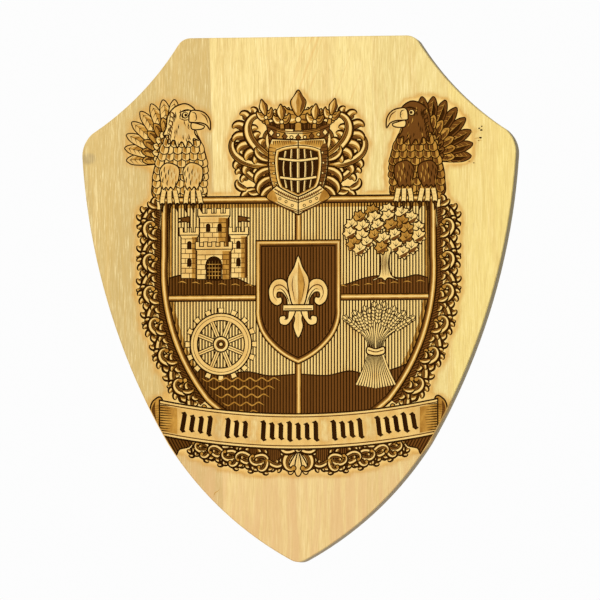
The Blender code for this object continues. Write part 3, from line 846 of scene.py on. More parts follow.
def scallop():
    """A shell of nine petals over the garland's middle, between two pairs of scrolls."""
    c = np.array([0.0, -104.0])
    for k in (-4, 4, -3, 3, -2, 2, -1, 1, 0):
        d, n = unit(np.radians(-90 + k * 19))
        long = 17.5 - 0.35 * k * k
        edge = ((3, -0.7), (long * 0.72, -2.5), (long, -1.5), (long + 0.9, 0),
                (long, 1.5), (long * 0.72, 2.5), (3, 0.7))
        blob([c + d * out + n * aside for out, aside in edge])
        stroke([c + d * long * 0.9 + n * 0.6, c + d * 4 + n * 0.2], 0.9, BROWN, (0.3, 0.3))
        stroke([c + d * long * 0.8 - n * 0.8, c + d * 5], 0.5, DARK, (0.3, 0.3))
    for side in (-1, 1):
        for length, width, way in ((22, 5.0, -1), (16, 4.2, 1)):
            scroll(side, (1, -103), -30, length, (40, 430), width, way, 1.8)
    outlined(disc(c + (0, 0.6), 2.6, 14))
    put(disc(c + (0.5, 0.2), 1.3, 10), BROWN)


def marks():
    """Specks and dashes in the bare wood at the upper right, and a scratch at the lower left."""
    for x, y, radius in ((127.7, 118.0, 0.7), (126.0, 116.6, 0.8), (127.4, 115.4, 1.0), (126.8, 110.1, 1.1),
                         (120.6, 114.0, 0.5), (125.6, 108.0, 0.5), (104.8, 93.8, 0.6), (108.2, 93.2, 0.5),
                         (111.8, 93.9, 0.8), (119.0, 93.9, 0.5), (122.2, 92.8, 0.6)):
        put(disc((x, y), radius, 7, 0.62), DARK if radius > 0.65 else BROWN)
    for x, y, length in ((122.4, 109.6, 4.0), (124.6, 108.2, 3.2), (104.4, 93.8, 2.4), (110.6, 93.8, 2.6),
                         (117.6, 94.0, 2.8), (119.4, 114.0, 2.0)):
        curve([(x, y), (x + length * 0.6, y + 0.3), (x + length, y + 0.1)], 0.5, LIGHT, (0.3, 0.3))
    curve([(-58.9, -136.4), (-58.2, -133.8), (-56.4, -132.6), (-54.8, -131.2)], 0.5, LIGHT, (0.4, 0.5))


def feather(side, base, angle, length, width, tone, shade, barbs=0, line=0.8):
    """One feather: a long lobe with a round tip, a shaft, and barbs cut on both its sides."""
    d, n = unit(np.radians(facing(angle, side)))
    base = flipped(base, side)
    w = width / 2
    edge = ((0, 0.6), (0.45, 1), (0.82, 0.92), (0.97, 0.4), (1, 0), (0.93, -0.55), (0.75, -1), (0.4, -1),
            (0, -0.6))
    blob([base + d * length * out + n * w * aside for out, aside in edge], tone, line, 1.2)
    shaded = ((0, -0.1), (0.9, 0), (0.74, -0.72), (0.4, -0.72), (0, -0.4))
    put([base + d * length * out + n * w * aside for out, aside in shaded], shade)
    shaft, barb = (LIGHT, LIGHT) if tone == BROWN else (DARK, BROWN)
    stroke([base + d * length * 0.94, base], 0.8, shaft, (0.3, 0))
    for k in range(barbs):
        root = base + d * length * (0.35 + 0.55 * k / (barbs - 1))
        back = root - d * width * 0.35
        stroke([root, back + n * w * 0.75], 0.6, barb, (0, 0.5))
        stroke([root, back - n * w * 0.75], 0.45, DARK, (0, 0.5))


def spread_wing(side, tones):
    """Four rows of feathers that fan out behind the eagle, the longest first."""
    rows = ((range(1, 9), -14, 13.6, (93, 96), (-0.5, 1.5), 21, 13, 0.62 / 8, 7.4, tones, 6),
            (range(1, 9), -20, 15.5, (91, 97), (-0.4, 1.4), 15, 7, 0.6 / 8, 6.2, (LIGHT, BROWN), 4),
            (range(8), -26, 18, (90, 98), (0, 1.3), 9.5, 4, 0.6 / 8, 5.2, tones, 0),
            (range(7), -20, 17, (90.5, 99), (-0.3, 1.5), 6.4, 3, 0.6 / 6, 4.4, (LIGHT, BROWN), 0))
    for numbers, angle, turn, root, step, least, more, phase, width, look, barbs in rows:
        for k in numbers:
            length = least + more * np.sin(np.pi * (0.1 + phase * k))
            feather(side, np.array(root) + np.array(step) * k, angle + turn * k, length, width, *look, barbs)


def scaled_body(side, tone, shade):
    """The eagle's body under ten rows of small feathers."""
    blob(flipped([(72, 116), (66, 104), (63.5, 92), (64.5, 80), (67, 70), (99, 70), (102, 82), (100, 94),
                  (95, 108), (90, 119), (82, 122)], side), shade, 1.0)
    for row in range(10):
        y = 72 + row * 4.7
        left = np.interp(y, [70, 80, 92, 104, 116], [66.5, 64.8, 64.2, 66.8, 72.5])
        right = np.interp(y, [70, 82, 94, 108, 119], [98.5, 101, 99, 94.5, 89])
        count = max(3, int(round((right - left) / 5.2)))
        gap = (right - left) / count
        for k in range(count + row % 2):
            x = left + gap * (k + (0.0 if row % 2 else 0.5))
            x = min(max(x, left + gap * 0.42), right - gap * 0.42)
            lean = -90 + (x - (left + right) / 2) * 0.9
            feather(side, (x, y + 3.4), lean, 7.4, gap * 1.08, tone, shade, 0, 0.7)


def plumage(side, pale):
    """Short cuts over the neck, and longer ones down its nape."""
    rng = np.random.default_rng(12)
    for k in range(46):
        x, y = 75 + 16 * rng.random(), 109 + 23 * rng.random()
        if (x - 76) ** 2 + (y - 128) ** 2 < 16 or x > 92 - abs(y - 120) * 0.25:
            continue
        lean = np.radians(-100 + (x - 82) * 2.6 + 10 * rng.random())
        long = 3.2 + 1.6 * rng.random()
        dx, dy = np.cos(lean), np.sin(lean)
        cut = [(x, y), (x + 0.4 * long * dx + 0.2, y + 0.5 * long * dy), (x + long * dx, y + long * dy)]
        tone = BROWN if pale else LIGHT
        stroke(flipped(cut, side), 0.8, DARK if k % 3 else tone, (0.4, 0.4))
    for k in range(7):
        y = 131 - 3.0 * k
        cut = [(90 + 0.4 * k, y), (87.4 + 0.4 * k, y - 1.8), (86.8 + 0.5 * k, y - 4.4)]
        curve(flipped(cut, side), 1.0, BROWN if pale else DARK)


def eagle_head(side):
    """The beak and the eye, drawn in profile."""
    blob(flipped([(74.6, 122.6), (69, 121.6), (65.6, 120.2), (67.6, 118.2), (74.2, 118.2)], side))
    blob(flipped([(75.4, 130.6), (70.4, 131.2), (65.2, 129.2), (61.8, 124.4), (61.6, 117.6), (64.2, 121),
                  (68.4, 122.6), (74.4, 122.9), (76.6, 124)], side), BARE, 1.0)
    curve(flipped([(74.6, 130), (72.0, 129.2), (71.2, 125.6), (72.6, 123.6)], side), 0.7)
    curve(flipped([(68.4, 129.4), (64.8, 126.6), (63.0, 121.8)], side), 0.9, BROWN)
    stroke(flipped([(72.6, 127.4), (71.6, 126.4)], side), 0.9)
    for x, y, radius, count, tone in ((79.2, 128.0, 2.4, 14, DARK), (79.0, 128.1, 1.7, 12, BARE),
                                      (78.7, 128.1, 1.1, 10, DARK)):
        put(flipped(disc((x, y), radius, count), side), tone)
    curve(flipped([(74.6, 131.4), (78.6, 131.5), (83.6, 129.8)], side), 1.3)
    curve(flipped([(76, 125.2), (79.6, 124.6), (83.4, 126)], side), 0.8, BROWN)


def eagle(side):
    """The pale eagle on the left for -1, and the dark one on the right for 1."""
    pale = side < 0
    tone, shade = (BARE, LIGHT) if pale else (LIGHT, BROWN)
    spread_wing(side, (BARE, LIGHT) if pale else (BROWN, DARK))
    scaled_body(side, tone, shade)
    neck = [(71.5, 122), (72.5, 116), (69.5, 110.5), (73.4, 111.6), (73.2, 106.6), (77, 110), (78.6, 105),
            (81.6, 109.6), (84.8, 105.4), (86.8, 110.8), (91, 108), (90.8, 114), (94.4, 114.4), (92.4, 120),
            (91.4, 127.5), (86.6, 133.6), (79.4, 136), (73.4, 133), (71, 128)]
    blob(flipped(neck, side), BARE if pale else BROWN, 1.0)
    plumage(side, pale)
    eagle_head(side)


def talon(side, x, turn):
    """One toe over the frame's edge, with its claw; turn is -1, 0 or 1 for the way it points."""
    toe = np.array([(x, 75.6), (x + turn * 1.0, 70.6), (x + turn * 1.5 - 0.3, 66.6)])
    path = smooth(flipped(toe, side), pitch=1)
    put(band(path, 2.1, 2.1), DARK)
    put(disc(path[-1], 2.1, 10), DARK)
    put(disc(path[-1], 1.4, 9), BARE)
    put(band(path, 1.4, 1.4), BARE)
    for k in range(3):
        y, middle = 74 - 2.3 * k, x + turn * 0.8
        stroke(flipped([(middle - 1.3, y), (middle + 1.3, y)], side), 0.5, BROWN, (0.2, 0.2))
    claw = toe[-1] + [(-1.3, 0.4), (1.3, 0.2), (1.1, -3.2), (-0.6, -6.4), (-0.9, -3)]
    patch(flipped(claw, side), DARK)
    stroke(flipped(toe[-1] + [(0.3, -0.6), (0.3, -3.2)], side), 0.5, LIGHT)


def legs(side):
    for x in (73.5, 90):
        thigh = [(-6, 92), (-6.4, 84), (-3.6, 78), (-2.4, 76.4), (-0.6, 78.4), (1, 76.2), (2.6, 78.2),
                 (4.4, 76.6), (6.2, 82), (7, 90), (2, 95)]
        blob(flipped(np.array(thigh) + (x, 0), side), BARE if side < 0 else BROWN, 0.9)
        for k in range(14):
            left, low = x - 4.6 + (k * 5) % 11, 80 + (k * 3.7) % 12
            cut = [(left, low + 2.4), (left + 0.5, low), (left + 0.2, low - 2)]
            curve(flipped(cut, side), 0.8, LIGHT if k % 2 else DARK)
        for aside, turn in ((4.0, 1), (-3.6, -1), (0.2, 0)):
            talon(side, x + aside, turn)


def draw_all():
    for side in (-1, 1):
        eagle(side)
    for side in (-1, 1):
        mantling(side)
        border(side)
    moulded_frame()
    castle()
    tree()
    mill_wheel()
    sheaf()
    bar((0, 66.5), (0, -82))
    bar((-90.4, 1), (90.4, 1))
    small_shield()
    for side in (-1, 1):
        legs(side)
    crown()
    helm_shell()
    helm_opening()
    helm_collar()
    for side in (-1, 1):
        garland(side)
    scallop()
    ribbon()
    slanted_strokes()
    marks()


# The pitch of the plain grid between the lines, the bare margin laid inside the rim under all the
# shapes, and how near two points have to be to become one.
GRID, MARGIN = 4.0, 1.2
MERGE = 1e-3

# What stands for a tone beyond the board's edge, and for one that isn't known yet.
OUTSIDE, UNKNOWN = -1, -2


def anticlockwise(polygon):
    x, y = polygon.T
    area = (x * np.roll(y, -1) - y * np.roll(x, -1)).sum()
    return polygon if area > 0 else polygon[::-1]


def triangulated(points, edges, faces, kind, merge=MERGE):
    found = delaunay_2d_cdt([Vector(p) for p in points], edges, faces, kind, merge)
    return np.array([v[:] for v in found[0]]), found


def tone_plan(outline):
    """Every shape's outline laid over those before it: points, triangles, and each triangle's tone."""
    inset = offset(outline[::-1], -MARGIN)[::-1]
    polygons = [anticlockwise(p) for p in [outline, inset] + [p for p, _ in shapes]]
    tones = np.array([BARE, BARE] + [tone for _, tone in shapes])
    ends = np.cumsum([len(p) for p in polygons])
    faces = [list(range(end - len(p), end)) for p, end in zip(polygons, ends)]
    points, found = triangulated(np.vstack(polygons), [], faces, 1)
    inner = [(face, tones[max(origin)]) for face, origin in zip(found[2], found[5]) if 0 in origin]
    return points, np.array([face for face, _ in inner]), np.array([tone for _, tone in inner])


def tone_borders(points, triangles, tone):
    """The directed edges where the tone changes, with the tones on their two sides."""
    edges = np.vstack([triangles[:, [0, 1]], triangles[:, [1, 2]], triangles[:, [2, 0]]])
    owner = np.tile(np.arange(len(triangles)), 3)
    key = edges[:, 0].astype(np.int64) * len(points) + edges[:, 1]
    back = edges[:, 1].astype(np.int64) * len(points) + edges[:, 0]
    order = np.argsort(key)
    at = np.minimum(np.searchsorted(key[order], back), len(key) - 1)
    paired = key[order][at] == back
    left = tone[owner]
    right = np.where(paired, tone[owner[order[at]]], OUTSIDE)
    keep = (left != right) & ((edges[:, 0] < edges[:, 1]) | (right == OUTSIDE))
    return edges[keep], left[keep], right[keep]


def straightened(points, edges, left, right, slack=0.03, longest=14):
    """The same borders without the points that lie on a straight run."""
    ends = edges.tolist()
    links = {}
    for number, pair in enumerate(ends):
        for point in pair:
            links.setdefault(point, []).append(number)
    alive = np.ones(len(ends), bool)
    dropped = {}
    for point in sorted(links):
        near = [number for number in links[point] if alive[number]]
        if len(near) != 2:
            continue
        kept, lost = near
        onward, following = ends[kept][1] == point, ends[lost][0] == point
        start, stop = ends[kept][0 if onward else 1], ends[lost][1 if following else 0]
        sides = (left[kept], right[kept]) if onward else (right[kept], left[kept])
        other_sides = (left[lost], right[lost]) if following else (right[lost], left[lost])
        if start == stop or sides != other_sides:
            continue
        chord = points[stop] - points[start]
        length = math.hypot(*chord)
        if not TINY < length <= longest:
            continue
        trail = dropped.get(kept, []) + dropped.get(lost, []) + [point]
        if np.abs(cross(chord, points[trail] - points[start])).max() / length > slack:
            continue
        alive[lost] = False
        ends[kept] = [start, stop] if onward else [stop, start]
        links[stop].append(kept)
        dropped[kept] = trail
    return np.array(ends)[alive], left[alive], right[alive]


def inside(points, polygon):
    """Which of the points lie inside a polygon."""
    found = np.zeros(len(points), bool)
    for p, q in zip(polygon, np.roll(polygon, -1, axis=0)):
        if p[1] != q[1]:
            span = (p[1] > points[:, 1]) != (q[1] > points[:, 1])
            meets = p[0] + (points[:, 1] - p[1]) / (q[1] - p[1]) * (q[0] - p[0])
            found ^= span & (points[:, 0] < meets)
    return found


def plain_grid(points, outline):
    """Grid points for soft shading, only where the borders leave room for them."""
    low, high = points.min(0), points.max(0)
    x, y = np.meshgrid(np.arange(low[0], high[0], GRID), np.arange(low[1], high[1], GRID))
    x[1::2] += GRID / 2
    grid = np.column_stack([x.ravel(), y.ravel()])
    crowded = set(map(tuple, np.round(points / GRID * 2).astype(int)))
    free = np.array([tuple(cell) not in crowded for cell in np.round(grid / GRID * 2).astype(int)])
    return grid[free & inside(grid, outline)]


def relaid(points, edges, left, right, outline):
    """A clean triangulation between the borders; each area takes its tone from the borders round it."""
    used, inverse = np.unique(edges, return_inverse=True)
    inverse = inverse.reshape(edges.shape)
    every = np.vstack([points[used], plain_grid(points[used], outline)])
    laid, found = triangulated(every, inverse.tolist(), [], 0)
    size = len(laid)
    sides = {}
    for (p, q), origin in zip(found[1], found[4]):
        border = next((number for number in origin if number < len(edges)), None)
        if border is not None:
            start, stop = every[inverse[border]]
            same = (stop - start) @ (laid[q] - laid[p]) > 0
            sides[p * size + q] = left[border] if same else right[border]
            sides[q * size + p] = right[border] if same else left[border]
    triangles = np.array(found[2])
    loops = [((i, j), (j, k), (k, i)) for i, j, k in triangles.tolist()]
    owner = {p * size + q: number for number, loop in enumerate(loops) for p, q in loop}
    tone = np.full(len(loops), UNKNOWN)
    queue = []
    for key, value in sides.items():
        number = owner.get(key)
        if number is not None and tone[number] == UNKNOWN:
            tone[number] = value
            queue.append(number)
    while queue:
        number = queue.pop()
        for p, q in loops[number]:
            other = owner.get(q * size + p)
            if p * size + q not in sides and other is not None and tone[other] == UNKNOWN:
                tone[other] = tone[number]
                queue.append(other)
    return laid, triangles[tone >= 0], tone[tone >= 0]


def board_outline(step=2.0):
    """The sawn outline, clockwise from the right end of the top; each point has the rise to the next."""
    top, foot = HALF_HIGH, -HALF_HIGH
    corners = [((TOP_HALF, top), 1.2), ((HALF_WIDE * 0.557, top - 5.0), -4.6),
               ((HALF_WIDE * 0.952, top - 65.5), 2.3), ((HALF_WIDE, top - 83.0), 12.0),
               ((HALF_WIDE * 0.6, foot + 81.5), 7.4), ((HALF_WIDE * 0.033, foot + 1.3), 0.3),
               ((0.0, foot), 0.0)]
    right = []
    for (point, rise), (following, _) in zip(corners, corners[1:]):
        right += arc(point, following, rise, step)
    return np.vstack([right, [(0.0, foot)], flipped(right, -1)[::-1]])


def turned(radius, start, end, steps, height):
    """An arc about a point on the middle line, between two angles in radians."""
    a = np.linspace(start, end, steps + 1)
    return np.column_stack([np.cos(a), np.sin(a)]) * radius + (0, height)


def keyhole_slot():
    """The hollow for a screw's head: a slot with round ends, anticlockwise."""
    radius = KEYHOLE_HEAD / 2 + KEYHOLE_ROOM
    return np.vstack([turned(radius, 0, math.pi, 16, KEYHOLE_AT + KEYHOLE_RISE),
                      turned(radius, math.pi, 2 * math.pi, 16, KEYHOLE_AT)])


def keyhole_mouth():
    """The way in from the back: a round hole with a narrower neck that runs up from it."""
    low = math.asin(KEYHOLE_NECK / KEYHOLE_HEAD)
    head = turned(KEYHOLE_HEAD / 2, math.pi / 2 - low, -1.5 * math.pi + low, 31, KEYHOLE_AT)
    top = turned(KEYHOLE_NECK / 2, math.pi, 0, 16, KEYHOLE_AT + KEYHOLE_RISE)
    return np.vstack([head, top])[::-1]


class Shell:
    """Points and faces as they are added, in millimetres, with one tone a face."""

    def __init__(self):
        self.points, self.faces, self.tones, self.soft = [], [], [], []

    def ring(self, outline, y):
        """Adds the points of one outline at one depth, and gives their numbers."""
        first = len(self.points)
        self.points += [(p[0], y, p[1]) for p in outline]
        return list(range(first, len(self.points)))

    def face(self, corners, tone=BARE, soft=False):
        self.faces.append(list(corners))
        self.tones.append(tone)
        self.soft.append(soft)

    def wall(self, near, far, soft=False):
        """Faces between two rings that run the same way."""
        for k in range(len(near)):
            j = (k + 1) % len(near)
            self.face((near[k], near[j], far[j], far[k]), BARE, soft)

    def flat(self, rings, flip):
        """A flat face inside the first ring and outside the others."""
        numbers = [number for ring in rings for number in ring]
        places = np.array(self.points)[numbers][:, [0, 2]]
        starts = np.cumsum([0] + [len(ring) for ring in rings])
        spans = list(zip(starts.tolist(), starts[1:].tolist()))
        edges = [(k, k + 1 if k + 1 < end else start) for start, end in spans for k in range(start, end)]
        laid, found = triangulated(places, edges, [], 0, 1e-6)
        triangles = np.array(found[2])
        middles = laid[triangles].mean(1)
        within_rings = [inside(middles, places[start:end]) for start, end in spans]
        keep = within_rings[0] & ~np.any(within_rings[1:], axis=0)
        for corners in triangles[keep].tolist():
            around = [numbers[found[3][v][0]] for v in corners]
            self.face(around[::-1] if flip else around)


def engraved_front(shell, outline):
    """Adds the front face with the engraving sunk into it, and gives the numbers of its rim's points."""
    points, triangles, tone = tone_plan(outline)
    edges, left, right = straightened(points, *tone_borders(points, triangles, tone))
    points, triangles, tone = relaid(points, edges, left, right, outline)
    edges, left, right = tone_borders(points, triangles, tone)
    numbers, present = {}, {}

    def at(v, level):
        if (v, level) not in numbers:
            numbers[v, level] = len(shell.points)
            shell.points.append((points[v][0], -THICKNESS + DEPTHS[level], points[v][1]))
        return numbers[v, level]

    for corners, level, shade in zip(triangles.tolist(), LEVEL[tone].tolist(), tone.tolist()):
        shell.face([at(v, level) for v in corners], shade)
        for v in corners:
            present.setdefault(v, set()).add(level)
    rim = {}
    for (a, b), near, far in zip(edges.tolist(), left.tolist(), right.tolist()):
        if far == OUTSIDE:
            rim[at(a, 0)] = at(b, 0)
        elif LEVEL[near] != LEVEL[far]:
            low, high = sorted((int(LEVEL[near]), int(LEVEL[far])))
            down = [at(a, level) for level in range(low, high + 1) if level in present[a]]
            up = [at(b, level) for level in range(high, low - 1, -1) if level in present[b]]
            corners = down + up
            shell.face(corners if LEVEL[far] > LEVEL[near] else corners[::-1], max(near, far))
    around = [next(iter(rim))]
    while rim[around[-1]] != around[0]:
        around.append(rim[around[-1]])
    return around


def engraved_board():
    """The whole board as one shell: engraved front, eased rims, sawn sides, and a back with a keyhole."""
    shell = Shell()
    last = engraved_front(shell, offset(board_outline(), -RIM)[::-1])
    flat = np.array([(p[0], p[2]) for p in shell.points])[last]
    outward = offset(flat[::-1], 1.0)[::-1] - flat
    for middle, turns, way in ((RIM - THICKNESS, (30, 60, 90), -1), (-RIM, (90, 60, 30, 0), 1)):
        for turn in turns:
            a = math.radians(turn)
            rim = shell.ring(flat + outward * RIM * math.sin(a), middle + way * RIM * math.cos(a))
            shell.wall(last, rim, True)
            last = rim
    mouth = shell.ring(keyhole_mouth(), 0.0)
    shell.flat([last, mouth], True)
    lip = shell.ring(keyhole_mouth(), -KEYHOLE_LIP)
    shell.wall(lip, mouth)
    channel = shell.ring(keyhole_slot(), -KEYHOLE_LIP)
    shell.flat([channel, lip], False)
    floor = shell.ring(keyhole_slot(), -KEYHOLE_DEEP)
    shell.wall(floor, channel)
    shell.flat([floor], True)
    return shell


def grid_corners(places):
    """The four grid cells about each place, with the share of it that falls to each."""
    cell = places.astype(int)
    part = places - cell
    for i in (0, 1):
        for j in (0, 1):
            across = part[:, 0] if i else 1 - part[:, 0]
            up = part[:, 1] if j else 1 - part[:, 1]
            yield (cell[:, 0] + i, cell[:, 1] + j), across * up


def scorch(points, spots, weights, pitch=1.5, blur=1.6, border=12):
    """How near each point lies to burnt wood, from the burnt triangles' middles and areas."""
    corner = np.array([HALF_WIDE, HALF_HIGH]) + border
    grid = np.zeros((2 * corner / pitch).astype(int) + 2)
    for cell, part in grid_corners((spots + corner) / pitch):
        np.add.at(grid, cell, weights * part / pitch ** 2)
    reach = int(np.ceil(3 * blur))
    kernel = np.exp(-0.5 * (np.arange(-reach, reach + 1) / blur) ** 2)
    for axis in (0, 1):
        grid = np.apply_along_axis(np.convolve, axis, grid, kernel / kernel.sum(), mode="same")
    return sum(grid[cell] * part for cell, part in grid_corners((points + corner) / pitch))


def board_object(material):
    """The board's mesh object, with each face's burn and each point's scorch as attributes."""
    shell = engraved_board()
    points = np.array(shell.points)
    mesh = bpy.data.meshes.new("engraved_shield_board")
    mesh.from_pydata((points * 0.001).tolist(), [], shell.faces)
    mesh.polygons.foreach_set("use_smooth", shell.soft)
    mesh.attributes.new("burn", "FLOAT", "FACE").data.foreach_set("value", np.array(shell.tones, float))
    burnt = [face for face, tone in zip(shell.faces, shell.tones) if tone > LIGHT and len(face) == 3]
    a, b, c = points[np.array(burnt).T][..., [0, 2]]
    (p, q), (r, s) = (b - a).T, (c - a).T
    near = scorch(points[:, [0, 2]], (a + b + c) / 3, np.abs(p * s - r * q) / 2)
    near *= points[:, 1] < max(DEPTHS) + RIM / 2 - THICKNESS
    mesh.attributes.new("scorch", "FLOAT", "POINT").data.foreach_set("value", near)
    mesh.materials.append(material)
    return linked(mesh)


def linked(data):
    """An object for a mesh, a camera or a light, with the same name, in the scene."""
    made = bpy.data.objects.new(data.name, data)
    bpy.context.scene.collection.objects.link(made)
    return made


# The staves: where each one's left seam lies, how far the seam leans, and the wood's tone from there on.
FIRST_STAVE = (0.485, 0.343, 0.13)
STAVES = ((-116.0, 0.0, (0.495, 0.35, 0.13)), (-56.8, -0.0308, (0.71, 0.55, 0.22)),
          (9.5, 0.0, (0.725, 0.573, 0.23)), (49.8, 0.0137, (0.67, 0.525, 0.206)),
          (104.0, 0.0, (0.70, 0.545, 0.193)))


def socket(node, name, value):
    """Sets a node's input from a number, a colour or another node's output."""
    if isinstance(value, bpy.types.NodeSocket):
        node.id_data.links.new(value, node.inputs[name])
    else:
        node.inputs[name].default_value = value


class Nodes:
    """Short names for the shader nodes that the looks are made of; the functions below call theirs n."""

    def __init__(self, tree):
        self.tree = tree

    def add(self, kind, *values):
        """A new node with its first inputs set."""
        node = self.tree.nodes.new(kind)
        for number, value in enumerate(values):
            socket(node, number, value)
        return node

    def math(self, operation, a, b=0.0):
        node = self.add("ShaderNodeMath", a, b)
        node.operation = operation
        return node.outputs[0]

    def plus(self, a, b):
        return self.math("ADD", a, b)

    def minus(self, a, b):
        return self.math("SUBTRACT", a, b)

    def times(self, a, b):
        return self.math("MULTIPLY", a, b)

    def above(self, a, b):
        return self.math("GREATER_THAN", a, b)

    def scaled(self, vector, scale):
        node = self.add("ShaderNodeVectorMath", vector, scale)
        node.operation = "MULTIPLY"
        return node.outputs[0]

    def noise(self, place, scale, detail=2.0, distortion=0.0, rough=0.5):
        node = self.add("ShaderNodeTexNoise", self.scaled(place, scale))
        names = ("Scale", "Detail", "Roughness", "Distortion")
        for name, value in zip(names, (1.0, detail, rough, distortion)):
            socket(node, name, value)
        return node.outputs["Fac"]

    def remap(self, value, low, high, to_low=0.0, to_high=1.0, kind="SMOOTHSTEP"):
        """A value's place between low and high, turned into one between the other two."""
        node = self.add("ShaderNodeMapRange", value, low, high, to_low, to_high)
        node.interpolation_type = kind
        return node.outputs["Result"]

    def mix(self, part, under, over):
        """One colour laid over another by a share."""
        node = self.add("ShaderNodeMix", part)
        node.data_type = "RGBA"
        for number, color in ((6, under), (7, over)):
            socket(node, number, (*color, 1.0) if isinstance(color, tuple) else color)
        return node.outputs[2]

    def attribute(self, name):
        node = self.add("ShaderNodeAttribute")
        node.attribute_name = name
        return node.outputs["Fac"]

    def place(self, kind="Object"):
        return self.add("ShaderNodeTexCoord").outputs[kind]

    def split(self, vector):
        return self.add("ShaderNodeSeparateXYZ", vector).outputs

    def joined(self, x, y, z):
        return self.add("ShaderNodeCombineXYZ", x, y, z).outputs[0]


def shaded(name):
    """A new material with the nodes of its Principled shader."""
    material = bpy.data.materials.new(name)
    material.use_nodes = True
    return material, material.node_tree.nodes["Principled BSDF"], Nodes(material.node_tree)


def stave_tones(n, x, z):
    """The staves' tones, the seams between them, and a shift that gives each stave a grain of its own."""
    color, seams, shift = FIRST_STAVE, 0.0, 0.0
    for number, (at, lean, tint) in enumerate(STAVES):
        aside = n.minus(x, n.plus(n.times(z, lean), at))
        step = n.above(aside, 0.0)
        color = n.mix(step, color, tint)
        shift = n.plus(shift, n.times(step, 37.3 + 11.1 * number))
        seams = n.math("MAXIMUM", seams, n.remap(n.math("ABSOLUTE", aside), 0.1, 0.42, 1.0, 0.0))
    return color, seams, shift


def figure(n, color, x, y, z, shift):
    """The wood's figure, from broad bands to fine fibres; three of them are given back with the colour."""
    own = n.joined(n.plus(x, shift), n.plus(y, n.times(shift, 0.7)), n.plus(z, shift))
    sway = n.times(n.minus(n.noise(own, (0.012, 0.012, 0.009)), 0.5), 26.0)
    swayed = n.joined(n.plus(n.plus(x, shift), sway), n.times(y, 0.6), n.plus(z, shift))
    broad = n.noise(swayed, (0.05, 0.05, 0.004), 2.0, 0.3)
    bands = n.noise(swayed, (0.15, 0.15, 0.007), 3.0, 0.8)
    grain = n.noise(own, (0.75, 0.75, 0.035), 4.0, 0.5, 0.6)
    fibre = n.noise(own, (2.2, 2.2, 0.09), 3.0, 0.3, 0.65)
    fleck = n.noise(own, (1.5, 1.5, 0.3))
    for value, low, high, most, tint in ((broad, 0.42, 0.7, 0.42, (0.60, 0.425, 0.155)),
                                         (bands, 0.5, 0.72, 0.45, (0.61, 0.41, 0.145)),
                                         (grain, 0.5, 0.72, 0.5, (0.54, 0.365, 0.12)),
                                         (grain, 0.47, 0.28, 0.4, (0.84, 0.71, 0.37)),
                                         (fibre, 0.48, 0.7, 0.55, (0.48, 0.32, 0.10)),
                                         (fibre, 0.48, 0.3, 0.45, (0.88, 0.77, 0.42)),
                                         (fleck, 0.66, 0.8, 0.4, (0.42, 0.27, 0.09))):
        color = n.mix(n.remap(value, low, high, 0.0, most), color, tint)
    return color, bands, grain, fibre


def stains_and_painted_light(n, color, mm, bands, fibre, seams):
    """The pink foot, a painted light that makes the right side brighter and more golden, the dark seams,
    rings near the top, a smudge, and sides greyed partly by painted shade.
    """
    x, y, z = n.split(mm)
    foot = n.times(n.remap(z, -70.0, -140.0), n.remap(bands, 0.36, 0.6, 0.5, 1.0))
    color = n.mix(n.times(foot, 0.75), color, (0.60, 0.37, 0.165))
    # Painted light: the right of the face is made brighter and more golden, as if lit from the right.
    color = n.mix(n.remap(x, 60.0, 150.0, 0.0, 0.35), color, (0.76, 0.585, 0.19))
    color = n.mix(n.times(seams, 0.16), color, (0.42, 0.26, 0.10))

    turned_place = n.add("ShaderNodeMapping", mm)
    turned_place.inputs["Rotation"].default_value = (0.0, math.radians(-20.0), 0.0)
    rings = n.noise(turned_place.outputs[0], (0.10, 0.10, 0.007), 2.0, 0.6)
    room = n.times(n.times(n.remap(x, -20.0, 8.0), n.remap(x, 52.0, 34.0)), n.remap(z, 105.0, 150.0))
    line = n.times(n.remap(n.math("ABSOLUTE", n.minus(rings, 0.52)), 0.0, 0.03, 1.0, 0.0), room)
    color = n.mix(n.times(line, 0.55), color, (0.62, 0.38, 0.12))

    spread = n.plus(n.math("POWER", n.times(n.plus(x, 147.0), 0.16), 2.0),
                    n.math("POWER", n.times(n.minus(z, 98.5), 0.2), 2.0))
    smudge = n.times(n.remap(spread, 1.0, 0.1, 0.0, 0.6), n.remap(fibre, 0.4, 0.6, 0.3, 1.0))
    color = n.mix(smudge, color, (0.26, 0.20, 0.11))
    # Partly painted shade: the sawn sides are darkened to grey, part the edge's own colour and part painted
    # shade.
    side = n.times(n.remap(y, -17.2, -17.7, 1.0, 0.0), n.remap(y, -0.1, -0.5))
    return n.mix(n.times(side, 0.75), color, (0.25, 0.212, 0.155))


